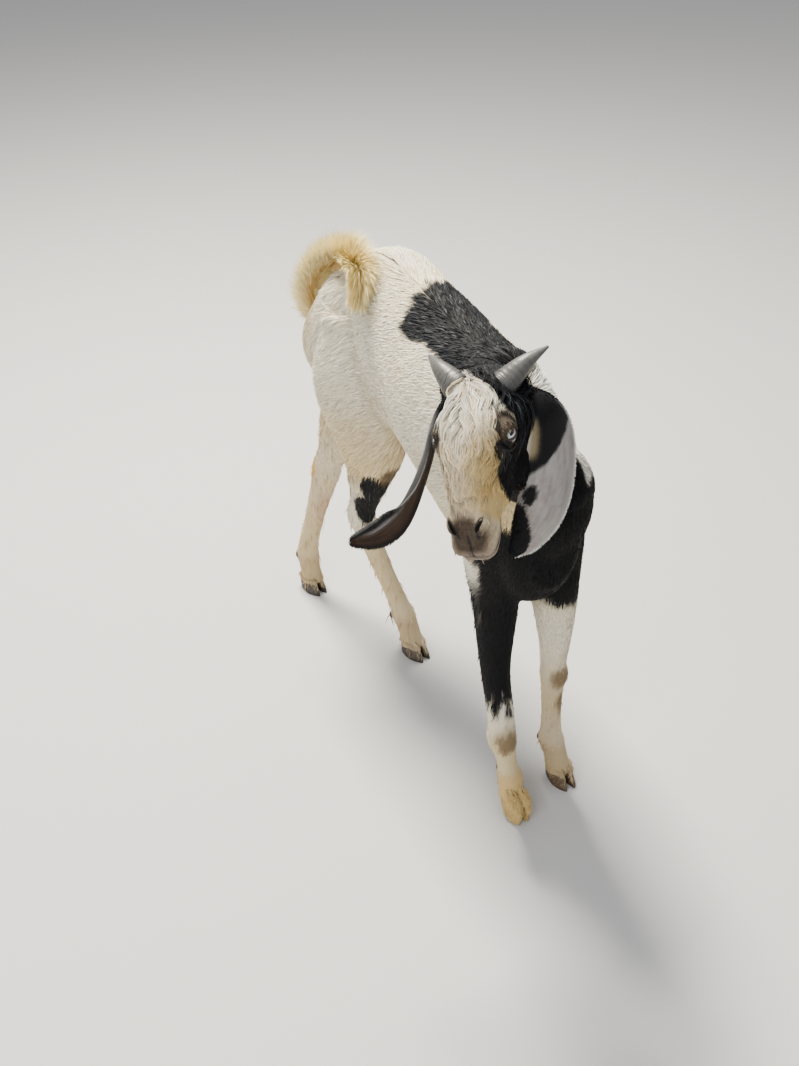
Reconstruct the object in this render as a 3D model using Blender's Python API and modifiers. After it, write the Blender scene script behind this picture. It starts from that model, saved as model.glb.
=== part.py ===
# A young drop-eared billy goat, life size, walking with its head lowered and turned to its right.
# Metres, +Z up. The goat faces -Y, its own left is +X, and the origin is on the floor under the
# middle of its box. The flesh is modelled whole from lofted forms, then parted by thin cuts.
import math
import random

import bmesh
import bpy
import numpy as np
from mathutils import Matrix, Vector
from mathutils.bvhtree import BVHTree

# Driving dimensions
GAP = 0.0003               # clear space kept between two solids that touch
VOXEL = 0.0026             # grain of the joined flesh before it is simplified
SMOOTH_ROUNDS = 8
BODY_FACES = 3900          # triangles kept on the body without the head
HEAD_FACES = 2000          # triangles kept on the head
CUT_MARGIN = 0.006         # flesh kept past each cut while it is simplified
ORIGIN = Vector((-0.0569, -0.0001, 0.0))

# Torso from rump to breast: x, y, top, bottom, half width
TORSO = [
    (0.0315, 0.298, 0.572, 0.500, 0.028),
    (0.0340, 0.282, 0.606, 0.470, 0.058),
    (0.0470, 0.235, 0.664, 0.456, 0.078),
    (0.0650, 0.160, 0.698, 0.460, 0.080),
    (0.0550, 0.070, 0.686, 0.458, 0.083),
    (0.0370, -0.035, 0.670, 0.448, 0.092),
    (0.0200, -0.115, 0.676, 0.412, 0.085),
    (0.0090, -0.165, 0.688, 0.382, 0.073),
    (0.0010, -0.225, 0.655, 0.370, 0.068),
    (-0.006, -0.272, 0.595, 0.390, 0.057),
    (-0.010, -0.298, 0.535, 0.430, 0.032),
]

# Neck from breast to poll: centre, half width, half depth
NECK = [
    ((0.002, -0.150, 0.570), 0.050, 0.100),
    ((-0.018, -0.204, 0.600), 0.050, 0.092),
    ((-0.054, -0.240, 0.645), 0.045, 0.075),
    ((-0.090, -0.256, 0.685), 0.042, 0.062),
    ((-0.118, -0.266, 0.708), 0.038, 0.050),
]
BREAST = ((0.0020, -0.262, 0.525), (0.064, 0.048, 0.085))   # fills the front between the two
SCROTUM = ((0.0480, 0.2080, 0.446), (0.024, 0.024, 0.036))

# Head: the poll, the tip of the muzzle, and sections square to the line between them
POLL = Vector((-0.130, -0.282, 0.750))
MUZZLE = Vector((-0.2296, -0.3868, 0.6254))
HEAD_ROLL = 20.0                   # degrees that the forehead leans to the goat's right
# distance from the poll, half width, top, bottom, height of the widest point
HEAD = [
    (-0.022, 0.020, -0.022, -0.050, -0.036),
    (-0.012, 0.036, -0.006, -0.070, -0.032),
    (0.010, 0.044, 0.009, -0.090, -0.034),
    (0.036, 0.046, 0.019, -0.099, -0.030),
    (0.062, 0.044, 0.025, -0.098, -0.022),
    (0.087, 0.038, 0.025, -0.090, -0.026),
    (0.111, 0.0305, 0.021, -0.079, -0.028),
    (0.133, 0.0280, 0.014, -0.070, -0.026),
    (0.152, 0.0275, 0.005, -0.064, -0.028),
    (0.168, 0.0265, -0.008, -0.059, -0.032),
    (0.180, 0.0225, -0.021, -0.054, -0.037),
    (0.187, 0.0130, -0.031, -0.047, -0.040),
]
EYE = (0.0665, 0.0350, -0.0010)    # centre of the left eyeball in the head's own axes
EYE_RADIUS = 0.0112
EYE_LOOK = (-0.02, 0.84, 0.54)     # the way the left eye looks
EYE_CORNERS = (-0.87, 0.27, -0.42) # from its front corner to its rear one
LID_LENGTH = 0.0096                # half the length of the opening between the lids
LID_HEIGHT = 0.0072
LID_THICK = 0.0034
NOSTRIL = (0.1630, 0.0145, 0.0005)
MOUTH_FRONT = 0.1875               # reach of the mouth's line at the front, from the poll
MOUTH_BACK = 0.1410                # corner of the mouth
MOUTH_LINE = -0.0365               # height of the mouth's line at the front
MOUTH_HALF = 0.0300                # half width of the groove's outer edge
MOUTH_GROOVE = 0.0018
MOUTH_DEPTH = 0.0045

# Long hair of the face: rows of flat locks down the forehead and the bridge of the nose
FACE_ROWS = 5
FACE_COLUMNS = 4
FACE_FIRST = -0.004                # first row of roots, from the poll
FACE_LAST = 0.088
FACE_SPREAD = 0.030                # half the width of a row
FACE_LOCK = (0.060, 0.0082, 0.0019)        # length, half width, half thickness

# Horns, in the head's own axes
HORN_ROOT = (0.0060, 0.0300, -0.0040)
HORN_TIP = (-0.0330, 0.0680, -0.0120)
HORN_RADIUS = 0.0130

# Ears: the root in the head's own axes, the points of the middle line with the half width there,
# and the way the outer face looks at the root and at the tip
EAR_ROOT = (0.0160, 0.0340, -0.0300)
EAR_LEFT = [
    ((-0.0922, -0.3200, 0.7280), 0.013),
    ((-0.0806, -0.3350, 0.7150), 0.021),
    ((-0.0740, -0.3430, 0.6845), 0.030),
    ((-0.0765, -0.3490, 0.6406), 0.0345),
    ((-0.0870, -0.3510, 0.6030), 0.031),
    ((-0.1040, -0.3490, 0.5740), 0.021),
    ((-0.1239, -0.3455, 0.5569), 0.005),
]
EAR_LEFT_FACES = ((0.05, -0.90, 0.35), (-0.15, -0.90, 0.45))
EAR_RIGHT = [
    ((-0.1530, -0.2480, 0.7060), 0.014),
    ((-0.1560, -0.2330, 0.6740), 0.023),
    ((-0.1590, -0.2250, 0.6360), 0.031),
    ((-0.1720, -0.2225, 0.5990), 0.034),
    ((-0.1940, -0.2250, 0.5700), 0.029),
    ((-0.2260, -0.2268, 0.5572), 0.017),
    ((-0.2581, -0.2268, 0.5589), 0.005),
]
EAR_RIGHT_FACES = ((-0.75, 0.55, 0.25), (-0.42, 0.80, -0.20))
EAR_THICK = 0.0034
EAR_CUP = 0.24                     # depth of the hollow, as a share of the half width

# Tail: middle line from its root over the croup, and half thickness of the tail without its hair
TAIL = [
    ((0.020, 0.270, 0.566), 0.018),
    ((0.0200, 0.292, 0.6020), 0.0160),
    ((0.0270, 0.271, 0.6430), 0.0140),
    ((0.0285, 0.222, 0.6720), 0.0125),
    ((0.0090, 0.160, 0.6770), 0.0105),
    ((-0.0160, 0.127, 0.6520), 0.0060),
]
TAIL_HUB = Vector((0.030, 0.210, 0.595))   # the middle of the curl
TAIL_ROWS = (-80, -40, 0, 40, 80)          # where the rows of locks stand round the tail
TAIL_LOCKS = 7                             # locks in each row
TAIL_LOCK = (0.054, 0.0150, 0.0030)        # length, half width, half thickness
SEED = 7

# Limbs: centre of each section, half width across, half width fore and aft
FORE_LEFT = [
    ((0.034, -0.205, 0.590), 0.022, 0.040),
    ((0.046, -0.218, 0.480), 0.034, 0.058),
    ((0.043, -0.238, 0.385), 0.031, 0.043),
    ((0.055, -0.238, 0.295), 0.0225, 0.0285),
    ((0.066, -0.231, 0.228), 0.0180, 0.0205),
    ((0.0696, -0.2305, 0.200), 0.0208, 0.0218),
    ((0.0710, -0.2285, 0.172), 0.0162, 0.0178),
    ((0.0745, -0.2280, 0.120), 0.0142, 0.0165),
    ((0.0775, -0.2280, 0.086), 0.0152, 0.0180),
    ((0.0782, -0.2295, 0.066), 0.0190, 0.0212),
    ((0.0795, -0.2400, 0.043), 0.0172, 0.0190),
    ((0.0803, -0.2490, 0.016), 0.0188, 0.0212),
]
FORE_RIGHT = [
    ((-0.026, -0.200, 0.590), 0.022, 0.040),
    ((-0.036, -0.208, 0.480), 0.034, 0.058),
    ((-0.034, -0.215, 0.375), 0.028, 0.040),
    ((-0.047, -0.238, 0.280), 0.0190, 0.0240),
    ((-0.055, -0.266, 0.208), 0.0180, 0.0205),
    ((-0.0580, -0.2730, 0.180), 0.0206, 0.0220),
    ((-0.0500, -0.2705, 0.154), 0.0164, 0.0182),
    ((-0.0330, -0.2590, 0.108), 0.0142, 0.0165),
    ((-0.0190, -0.2490, 0.074), 0.0154, 0.0180),
    ((-0.0130, -0.2460, 0.056), 0.0190, 0.0212),
    ((-0.0150, -0.2520, 0.038), 0.0172, 0.0188),
    ((-0.0165, -0.2530, 0.024), 0.0184, 0.0204),
]
HIND_LEFT = [
    ((0.082, 0.190, 0.610), 0.038, 0.070),
    ((0.080, 0.212, 0.520), 0.040, 0.088),
    ((0.066, 0.246, 0.435), 0.036, 0.078),
    ((0.052, 0.281, 0.362), 0.026, 0.050),
    ((0.044, 0.309, 0.300), 0.0185, 0.0275),
    ((0.0390, 0.3220, 0.260), 0.0195, 0.0270),
    ((0.0350, 0.3290, 0.228), 0.0170, 0.0225),
    ((0.0280, 0.3470, 0.160), 0.0152, 0.0182),
    ((0.0238, 0.3650, 0.096), 0.0160, 0.0190),
    ((0.0243, 0.3690, 0.072), 0.0192, 0.0212),
    ((0.0245, 0.3650, 0.045), 0.0174, 0.0190),
    ((0.0248, 0.3595, 0.016), 0.0188, 0.0212),
]
HIND_RIGHT = [
    ((0.022, 0.165, 0.610), 0.040, 0.066),
    ((0.002, 0.150, 0.520), 0.040, 0.084),
    ((0.002, 0.130, 0.440), 0.037, 0.068),
    ((0.008, 0.143, 0.365), 0.025, 0.041),
    ((0.0150, 0.170, 0.290), 0.0168, 0.0240),
    ((0.0190, 0.1820, 0.255), 0.0185, 0.0270),
    ((0.0270, 0.1760, 0.222), 0.0165, 0.0220),
    ((0.0450, 0.1560, 0.150), 0.0150, 0.0178),
    ((0.0600, 0.1380, 0.092), 0.0158, 0.0188),
    ((0.0654, 0.1310, 0.070), 0.0190, 0.0212),
    ((0.0680, 0.1200, 0.044), 0.0172, 0.0190),
    ((0.0696, 0.1100, 0.016), 0.0188, 0.0212),
]

# Hooves: middle of the sole, the way the toe points, and how far the heel is raised
HOOVES = {
    "front_left": ((0.0812, -0.2560), (-0.10, -1.0), 0.0),
    "front_right": ((-0.0180, -0.2640), (-0.10, -1.0), 34.0),
    "hind_left": ((0.0250, 0.3540), (0.12, -1.0), 0.0),
    "hind_right": ((0.0705, 0.1010), (0.14, -1.0), 0.0),
}
HOOF_LENGTH = 0.054
HOOF_WIDTH = 0.044
HOOF_HEIGHT = 0.026
HOOF_TOP = 0.78                    # size of the hoof's top against its sole
TOE_PIVOT = 0.36                   # where a raised hoof turns, as a share of its length
CLEFT_WIDTH = 0.0036
CLEFT_LENGTH = 0.60                # share of the hoof's length that the cleft reaches back

REAR_WAY = Vector((0.31, -0.95, 0.0))      # the way the hindquarters face
DEWCLAWS = {
    "fore_left": (0.0782, -0.2295, 0.060), "fore_right": (-0.0110, -0.2440, 0.060),
    "hind_left": (0.0243, 0.3690, 0.066), "hind_right": (0.0654, 0.1330, 0.064),
}
DEWCLAW_BACK = 0.0175
DEWCLAW_APART = 0.0085
DEWCLAW_RADIUS = 0.0066
HOCK_POINTS = ((0.0350, 0.3360, 0.270), (0.0150, 0.1970, 0.264))
HOCK_POINT = (0.0090, 0.0120, 0.0240)

# Colours and finish of each kind of surface
WHITE_COAT = ((0.80, 0.76, 0.68), 0.85)
CREAM_COAT = ((0.78, 0.66, 0.45), 0.85)
GREY_SKIN = ((0.36, 0.33, 0.34), 0.65)
HORN_GREY = ((0.33, 0.32, 0.31), 0.50)
HOOF_BROWN = ((0.10, 0.08, 0.07), 0.55)
EYE_PALE = ((0.62, 0.62, 0.55), 0.08)

RING = 20


def clear_scene():
    for obj in list(bpy.data.objects):
        bpy.data.objects.remove(obj)


def collection(name):
    made = bpy.data.collections.new(name)
    bpy.context.scene.collection.children.link(made)
    return made


def material(name, look):
    colour, roughness = look
    made = bpy.data.materials.new(name)
    made.use_nodes = True
    shader = made.node_tree.nodes["Principled BSDF"]
    shader.inputs["Base Color"].default_value = (*colour, 1.0)
    shader.inputs["Roughness"].default_value = roughness
    shader.inputs["Metallic"].default_value = 0.0
    return made


def catmull(values, steps):
    """A smooth run of arrays through the given ones, with steps pieces between each two."""
    values = np.array(values, float)
    padded = np.vstack([2 * values[0] - values[1], values, 2 * values[-1] - values[-2]])
    run = []
    for i in range(1, len(padded) - 2):
        before, start, end, after = padded[i - 1 : i + 3]
        for step in range(steps):
            t = step / steps
            run.append(
                0.5
                * (
                    2 * start
                    + (end - before) * t
                    + (2 * before - 5 * start + 4 * end - after) * t**2
                    + (3 * start - before - 3 * end + after) * t**3
                )
            )
    run.append(values[-1])
    return np.array(run)


def loft(name, rings):
    """A closed mesh through rings of equal count, each end closed by one face."""
    mesh = bmesh.new()
    rows = [[mesh.verts.new(point) for point in ring] for ring in rings]
    count = len(rows[0])
    for low, high in zip(rows, rows[1:]):
        for i in range(count):
            j = (i + 1) % count
            mesh.faces.new((low[i], low[j], high[j], high[i]))
    mesh.faces.new(rows[0][::-1])
    mesh.faces.new(rows[-1])
    return finish_mesh(name, mesh)


def finish_mesh(name, mesh):
    bmesh.ops.remove_doubles(mesh, verts=mesh.verts, dist=1e-6)
    bmesh.ops.recalc_face_normals(mesh, faces=mesh.faces)
    bmesh.ops.triangulate(mesh, faces=mesh.faces)
    data = bpy.data.meshes.new(name)
    mesh.to_mesh(data)
    mesh.free()
    obj = bpy.data.objects.new(name, data)
    bpy.context.scene.collection.objects.link(obj)
    return obj


def ellipse(centre, across, up, half_across, half_up, count=RING):
    turns = np.arange(count) * 2 * math.pi / count
    return [
        centre + across * (half_across * math.cos(t)) + up * (half_up * math.sin(t))
        for t in turns
    ]


def limb(name, stations, forward=Vector((0, -1, 0)), steps=3, count=RING):
    """A bent tube of elliptical section, its first width square to forward."""
    rows = catmull([(*centre, across, along) for centre, across, along in stations], steps)
    rings = []
    for i, (x, y, z, across, along) in enumerate(rows):
        run = Vector(rows[min(i + 1, len(rows) - 1)][:3]) - Vector(rows[max(i - 1, 0)][:3])
        run.normalize()
        side = run.cross(forward).normalized()
        front = side.cross(run).normalized()
        rings.append(ellipse(Vector((x, y, z)), side, front, across, along, count))
    return loft(name, rings)


def torso():
    """The trunk: oval sections, fuller below the middle of the ribs and flat along the back."""
    rows = catmull(TORSO, 3)
    rings = []
    for i, (x, y, top, bottom, width) in enumerate(rows):
        run = Vector(rows[min(i + 1, len(rows) - 1)][:2]) - Vector(rows[max(i - 1, 0)][:2])
        side = Vector((-run.y, run.x, 0)).normalized()
        middle = bottom + 0.50 * (top - bottom)
        ring = []
        for k in range(RING):
            turn = 2 * math.pi * k / RING
            rise = math.sin(turn)
            half = (top - middle) if rise > 0 else (middle - bottom)
            share = math.copysign(abs(math.cos(turn)) ** 0.86, math.cos(turn))
            ring.append(Vector((x, y, middle + half * rise)) + side * (width * share))
        rings.append(ring)
    return loft("torso_form", rings)


def head_axes():
    """Axes of the head: along the face, to the goat's left, and out of the forehead."""
    along = (MUZZLE - POLL).normalized()
    left = Vector((0, 0, 1)).cross(-along).normalized()
    left = -left if left.x < 0 else left
    out = left.cross(along).normalized()
    out = -out if out.z < 0 else out
    roll = Matrix.Rotation(math.radians(HEAD_ROLL), 3, along)
    return along, roll @ left, roll @ out


def on_head(a, b, c):
    along, left, out = head_axes()
    return POLL + along * a + left * b + out * c


def head_ring(a, width, top, bottom, middle):
    ring = []
    for k in range(RING + 4):
        turn = 2 * math.pi * k / (RING + 4)
        rise = math.sin(turn)
        if rise > 0:
            height = middle + (top - middle) * rise**0.9
            narrow = 1.0 - 0.10 * rise
        else:
            height = middle - (middle - bottom) * abs(rise) ** 0.95
            narrow = 1.0 - 0.30 * abs(rise)
        share = math.copysign(abs(math.cos(turn)) ** 0.80, math.cos(turn))
        ring.append(on_head(a, width * share * narrow, height))
    return ring


def joined(name, pieces):
    """Overlapping forms made one skin, then smoothed."""
    mesh = bmesh.new()
    for piece in pieces:
        mesh.from_mesh(piece.data)
        bpy.data.objects.remove(piece)
    whole = finish_mesh(name, mesh)
    remesh = whole.modifiers.new("join", "REMESH")
    remesh.mode = "VOXEL"
    remesh.voxel_size = VOXEL
    smooth = whole.modifiers.new("smooth", "SMOOTH")
    smooth.factor = 0.5
    smooth.iterations = SMOOTH_ROUNDS
    return largest(applied(whole))


def applied(obj):
    """The object's mesh with its modifiers worked in."""
    graph = bpy.context.evaluated_depsgraph_get()
    data = bpy.data.meshes.new_from_object(obj.evaluated_get(graph))
    obj.modifiers.clear()
    obj.data = data
    return obj


def simplified(obj, faces):
    """The mesh brought down to about the given number of triangles."""
    mesh = bmesh.new()
    mesh.from_mesh(obj.data)
    bmesh.ops.triangulate(mesh, faces=mesh.faces)
    mesh.to_mesh(obj.data)
    mesh.free()
    modifier = obj.modifiers.new("simplify", "DECIMATE")
    modifier.ratio = min(1.0, faces / len(obj.data.polygons))
    return applied(obj)


def copy_of(obj, name):
    made = bpy.data.objects.new(name, obj.data.copy())
    bpy.context.scene.collection.objects.link(made)
    return made


def boolean(obj, cutter, operation, solver="EXACT"):
    modifier = obj.modifiers.new("cut", "BOOLEAN")
    modifier.operation = operation
    modifier.solver = solver
    modifier.object = cutter
    return largest(applied(obj))


def largest(obj):
    """Only the largest closed surface of the mesh."""
    mesh = bmesh.new()
    mesh.from_mesh(obj.data)
    bmesh.ops.remove_doubles(mesh, verts=mesh.verts, dist=2e-6)
    bmesh.ops.triangulate(mesh, faces=mesh.faces)
    left = set(mesh.faces)
    groups = []
    while left:
        queue = [left.pop()]
        group = list(queue)
        while queue:
            for edge in queue.pop().edges:
                for face in edge.link_faces:
                    if face in left:
                        left.discard(face)
                        queue.append(face)
                        group.append(face)
        groups.append(group)
    groups.sort(key=len)
    scraps = [face for group in groups[:-1] for face in group]
    bmesh.ops.delete(mesh, geom=scraps, context="FACES")
    mesh.to_mesh(obj.data)
    mesh.free()
    return obj


def block(name, centre, size, turn):
    """A box cutter turned by a 3 x 3 matrix."""
    mesh = bmesh.new()
    place = Matrix.Translation(centre) @ turn.to_4x4() @ Matrix.Diagonal((*size, 1.0))
    bmesh.ops.create_cube(mesh, size=1.0, matrix=place)
    obj = finish_mesh(name, mesh)
    obj.hide_render = True
    obj.display_type = "WIRE"
    return obj


def grown(obj, name, distance):
    """A copy with its skin moved out by distance, to cut a neighbour clear of it."""
    made = copy_of(obj, name)
    made.data.update()
    normals = [vertex.normal.copy() for vertex in made.data.vertices]
    for vertex, normal in zip(made.data.vertices, normals):
        vertex.co += normal * distance
    return made


def clear_of(piece, *others):
    """The piece with what lies inside its neighbours, and the gap to them, cut away."""
    for other in others:
        cutter = grown(other, "cutter", GAP * 1.3)
        boolean(piece, cutter, "DIFFERENCE")
        bpy.data.objects.remove(cutter)
    return piece


def sphere(name, centre, radius, scale=(1, 1, 1), turn=Matrix.Identity(3), detail=(20, 12)):
    mesh = bmesh.new()
    place = Matrix.Translation(centre) @ turn.to_4x4() @ Matrix.Diagonal((*scale, 1.0))
    bmesh.ops.create_uvsphere(
        mesh, u_segments=detail[0], v_segments=detail[1], radius=radius, matrix=place
    )
    return finish_mesh(name, mesh)


def lock(name, points, width, thick, face):
    """A flat tapered lock along a smooth path, its broad side towards face."""
    rows = catmull(points, 2)
    rings = []
    last = len(rows) - 1
    for i, point in enumerate(rows):
        run = Vector(rows[min(i + 1, last)]) - Vector(rows[max(i - 1, 0)])
        run.normalize()
        side = run.cross(face).normalized()
        out = side.cross(run).normalized()
        t = i / last
        spread = (0.55 + 0.9 * t - 1.35 * t * t) if t < 1 else 0.04
        spread = max(spread, 0.05)
        depth = max(1.0 - t, 0.12)
        middle = Vector(point)
        rings.append([
            middle + side * (width * spread),
            middle + out * (thick * depth),
            middle - side * (width * spread),
            middle - out * (thick * depth),
        ])
    return loft(name, rings)


def fused(obj, pieces):
    """The object joined with its locks by one union, as one closed body."""
    if not pieces:
        return obj
    group = collection("locks")
    for piece in pieces:
        bpy.context.scene.collection.objects.unlink(piece)
        group.objects.link(piece)
    modifier = obj.modifiers.new("fuse", "BOOLEAN")
    modifier.operation = "UNION"
    modifier.solver = "MANIFOLD"
    modifier.operand_type = "COLLECTION"
    modifier.collection = group
    applied(obj)
    for piece in pieces:
        bpy.data.objects.remove(piece)
    bpy.data.collections.remove(group)
    return largest(obj)


def ear(name, mirror, stations, faces):
    """A hanging leaf-shaped ear, hollow on its inner side."""
    root = on_head(EAR_ROOT[0], EAR_ROOT[1] * mirror, EAR_ROOT[2])
    rows = catmull([(*root, 0.009)] + [(*centre, width) for centre, width in stations], 3)
    across_steps = 5
    last = len(rows) - 1
    rings = []
    for i, (x, y, z, width) in enumerate(rows):
        run = Vector(rows[min(i + 1, last)][:3]) - Vector(rows[max(i - 1, 0)][:3])
        face = Vector(faces[0]).lerp(Vector(faces[1]), i / last)
        run.normalize()
        side = run.cross(face).normalized()
        out = side.cross(run).normalized()
        middle = Vector((x, y, z))
        thick = EAR_THICK * (0.55 if i == last else 1.0)
        outer = []
        inner = []
        for k in range(across_steps + 1):
            share = 2 * k / across_steps - 1
            sink = EAR_CUP * width * share * share
            edge = thick * (1.0 - 0.55 * abs(share)) / 2
            place = middle + side * (width * share) - out * sink
            outer.append(place + out * edge)
            inner.append(place - out * edge)
        rings.append(outer + inner[::-1])
    return loft(name, rings)


def horn(name, mirror):
    """A short horn, round in section, bending back and out to a blunt point."""
    root = on_head(HORN_ROOT[0], HORN_ROOT[1] * mirror, HORN_ROOT[2])
    tip = on_head(HORN_TIP[0], HORN_TIP[1] * mirror, HORN_TIP[2])
    out = head_axes()[2]
    run = tip - root
    points = [root - run * 0.15, root, root + run * 0.5 + out * 0.005, tip]
    sizes = [1.30, 1.22, 0.70, 0.14]
    stations = [
        (point, HORN_RADIUS * size, HORN_RADIUS * 0.86 * size) for point, size in zip(points, sizes)
    ]
    return limb(name, stations, forward=out, steps=2, count=14)


def hoof_place(sole, toe, raised):
    """Where a hoof stands, turned about its toe by the angle that its heel is raised."""
    heading = Vector((*toe, 0)).normalized()
    side = Vector((-heading.y, heading.x, 0))
    pivot = Matrix.Translation(heading * (HOOF_LENGTH * TOE_PIVOT))
    turn = Matrix.Rotation(math.radians(raised), 4, side)
    return Matrix.Translation(Vector((*sole, 0))) @ pivot @ turn @ pivot.inverted()


def hoof(name, sole, toe, raised):
    """One cloven hoof: a wedge with a round front, flat below, cleft from the toe back."""
    heading = Vector((*toe, 0)).normalized()
    side = Vector((-heading.y, heading.x, 0))
    count = 28
    rings = []
    for level in (0.0, 0.35, 1.0):
        size = 1.0 + (HOOF_TOP - 1.0) * level
        ring = []
        for k in range(count):
            turn = 2 * math.pi * k / count
            length = 0.5 * HOOF_LENGTH * math.cos(turn)
            narrow = 1.0 - 0.20 * math.cos(turn) - 0.16 * math.cos(turn) ** 2
            width = 0.5 * HOOF_WIDTH * math.sin(turn) * narrow * 1.14
            lean = -0.30 * HOOF_HEIGHT * level
            ring.append(
                heading * (length * size + lean) + side * (width * size)
                + Vector((0, 0, HOOF_HEIGHT * level))
            )
        rings.append(ring)
    body = loft(name, rings)
    reach = CLEFT_LENGTH * HOOF_LENGTH
    front = heading * (HOOF_LENGTH * 0.5)
    wedge = []
    for level in (-0.3, 1.4):
        back = front - heading * (reach * (1.0 - 0.10 * level))
        base = Vector((0, 0, HOOF_HEIGHT * level))
        wedge.append([
            back + base + side * 0.0004,
            front + heading * 0.01 + base + side * (CLEFT_WIDTH / 2),
            front + heading * 0.01 + base - side * (CLEFT_WIDTH / 2),
            back + base - side * 0.0004,
        ])
    cutter = loft("cleft", wedge)
    boolean(body, cutter, "DIFFERENCE")
    bpy.data.objects.remove(cutter)
    # A raised heel turns the hoof about its toe, and the toe is flattened on the floor.
    place = hoof_place(sole, toe, raised)
    body.data.transform(place)
    if raised:
        floor = block("floor", Vector((*sole, -0.1)), (0.3, 0.3, 0.2), Matrix.Identity(3))
        boolean(body, floor, "DIFFERENCE")
        bpy.data.objects.remove(floor)
    return body


def head_form():
    """Skull, muzzle, brow, cheeks and lips as overlapping forms."""
    rows = catmull(HEAD, 3)
    pieces = [loft("skull", [head_ring(*row) for row in rows])]
    turn = Matrix(head_axes()).transposed()
    a, b, c = EYE
    places = {
        "orbit": ((a - 0.002, b - 0.0035, c + 0.0005), 0.0168, (1.10, 0.90, 0.95)),
        "jaw": ((a + 0.002, 0.027, -0.060), 0.028, (1.30, 0.40, 1.05)),
        "cheek": ((a + 0.034, 0.022, -0.040), 0.021, (1.60, 0.45, 0.80)),
        "nose_side": ((0.156, 0.0145, -0.0080), 0.0120, (1.30, 0.80, 0.95)),
        "lip": ((0.168, 0.0150, -0.0285), 0.0120, (1.60, 0.90, 0.72)),
        "horn_seat": ((0.006, 0.0290, -0.0080), 0.0170, (1.0, 1.0, 1.0)),
    }
    for mirror in (1, -1):
        for name, ((x, y, z), radius, scale) in places.items():
            pieces.append(sphere(name, on_head(x, y * mirror, z), radius, scale, turn))
        pieces.append(lids(mirror))
    pieces.append(sphere("chin", on_head(0.165, 0, -0.0560), 0.0150, (1.20, 1.05, 0.60), turn))
    return pieces


def eye_frame(mirror):
    """The eyeball's centre, and its axes: corner to corner, up the lids, and outward."""
    along, left, out = head_axes()
    side = left * mirror
    look = (along * EYE_LOOK[0] + side * EYE_LOOK[1] + out * EYE_LOOK[2]).normalized()
    corners = along * EYE_CORNERS[0] + side * EYE_CORNERS[1] + out * EYE_CORNERS[2]
    corners = (corners - look * corners.dot(look)).normalized()
    a, b, c = EYE
    return on_head(a, b * mirror, c), corners, look.cross(corners), look


def lids(mirror):
    """The two lids as a thick rim around the opening over the eyeball."""
    centre, corners, rise, look = eye_frame(mirror)
    count = 18
    rim = []
    for k in range(count):
        turn = 2 * math.pi * k / count
        wide = LID_LENGTH * math.cos(turn)
        high = LID_HEIGHT * math.sin(turn)
        depth = math.sqrt(EYE_RADIUS**2 - wide**2 - high**2)
        rim.append(centre + corners * wide + rise * high + look * (depth + 0.0004))
    mesh = bmesh.new()
    rows = []
    for i, point in enumerate(rim):
        run = (rim[(i + 1) % count] - rim[i - 1]).normalized()
        away = (point - centre).normalized()
        ring = ellipse(point, away, run.cross(away), LID_THICK * 0.55, LID_THICK * 0.8, 8)
        rows.append([mesh.verts.new(corner) for corner in ring])
    for i in range(count):
        low, high = rows[i], rows[(i + 1) % count]
        for k in range(8):
            j = (k + 1) % 8
            mesh.faces.new((low[k], low[j], high[j], high[k]))
    return finish_mesh("lids", mesh)


def eye_socket(head, mirror):
    """Opens the lids and makes room for the eyeball."""
    centre, corners, rise, look = eye_frame(mirror)
    turn = Matrix((corners, rise, look)).transposed()
    cut_away(head, sphere("socket", centre, EYE_RADIUS + GAP * 2, turn=turn, detail=(16, 10)))
    mesh = bmesh.new()
    place = (
        Matrix.Translation(centre + look * 0.018)
        @ turn.to_4x4()
        @ Matrix.Diagonal((LID_LENGTH * 0.92, LID_HEIGHT * 0.82, 1.0, 1.0))
    )
    bmesh.ops.create_cone(
        mesh, cap_ends=True, segments=16, radius1=1.0, radius2=1.0, depth=0.030, matrix=place
    )
    cut_away(head, finish_mesh("opening", mesh))


def eyeball(name, mirror):
    """The whole eyeball, its pole towards the opening of the lids."""
    centre, corners, rise, look = eye_frame(mirror)
    turn = Matrix((corners, rise, look)).transposed()
    return sphere(name, centre, EYE_RADIUS, turn=turn, detail=(16, 10))


def surface_of(obj):
    """The skin of an object, ready to be searched for its nearest point."""
    mesh = obj.data
    points = [vertex.co for vertex in mesh.vertices]
    return BVHTree.FromPolygons(points, [polygon.vertices for polygon in mesh.polygons])


def lying_lock(name, skin, root, way, size, lift, sag):
    """A lock whose root is sunk in the skin and which then lies along it."""
    length, width, thick = size
    steps = 4
    place = root.copy()
    way = way.normalized()
    points = []
    for step in range(steps + 1):
        hit, normal, _, _ = skin.find_nearest(place)
        t = step / steps
        height = -2.2 * thick if step == 0 else lift * math.sin(math.pi * min(t * 1.1, 1) * 0.8)
        points.append(hit + normal * height)
        way = (way - normal * way.dot(normal)).normalized()
        way = (way + sag * 0.12).normalized()
        place = hit + way * (length / steps)
    _, face, _, _ = skin.find_nearest(root)
    return lock(name, points, width, thick, face)


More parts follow.
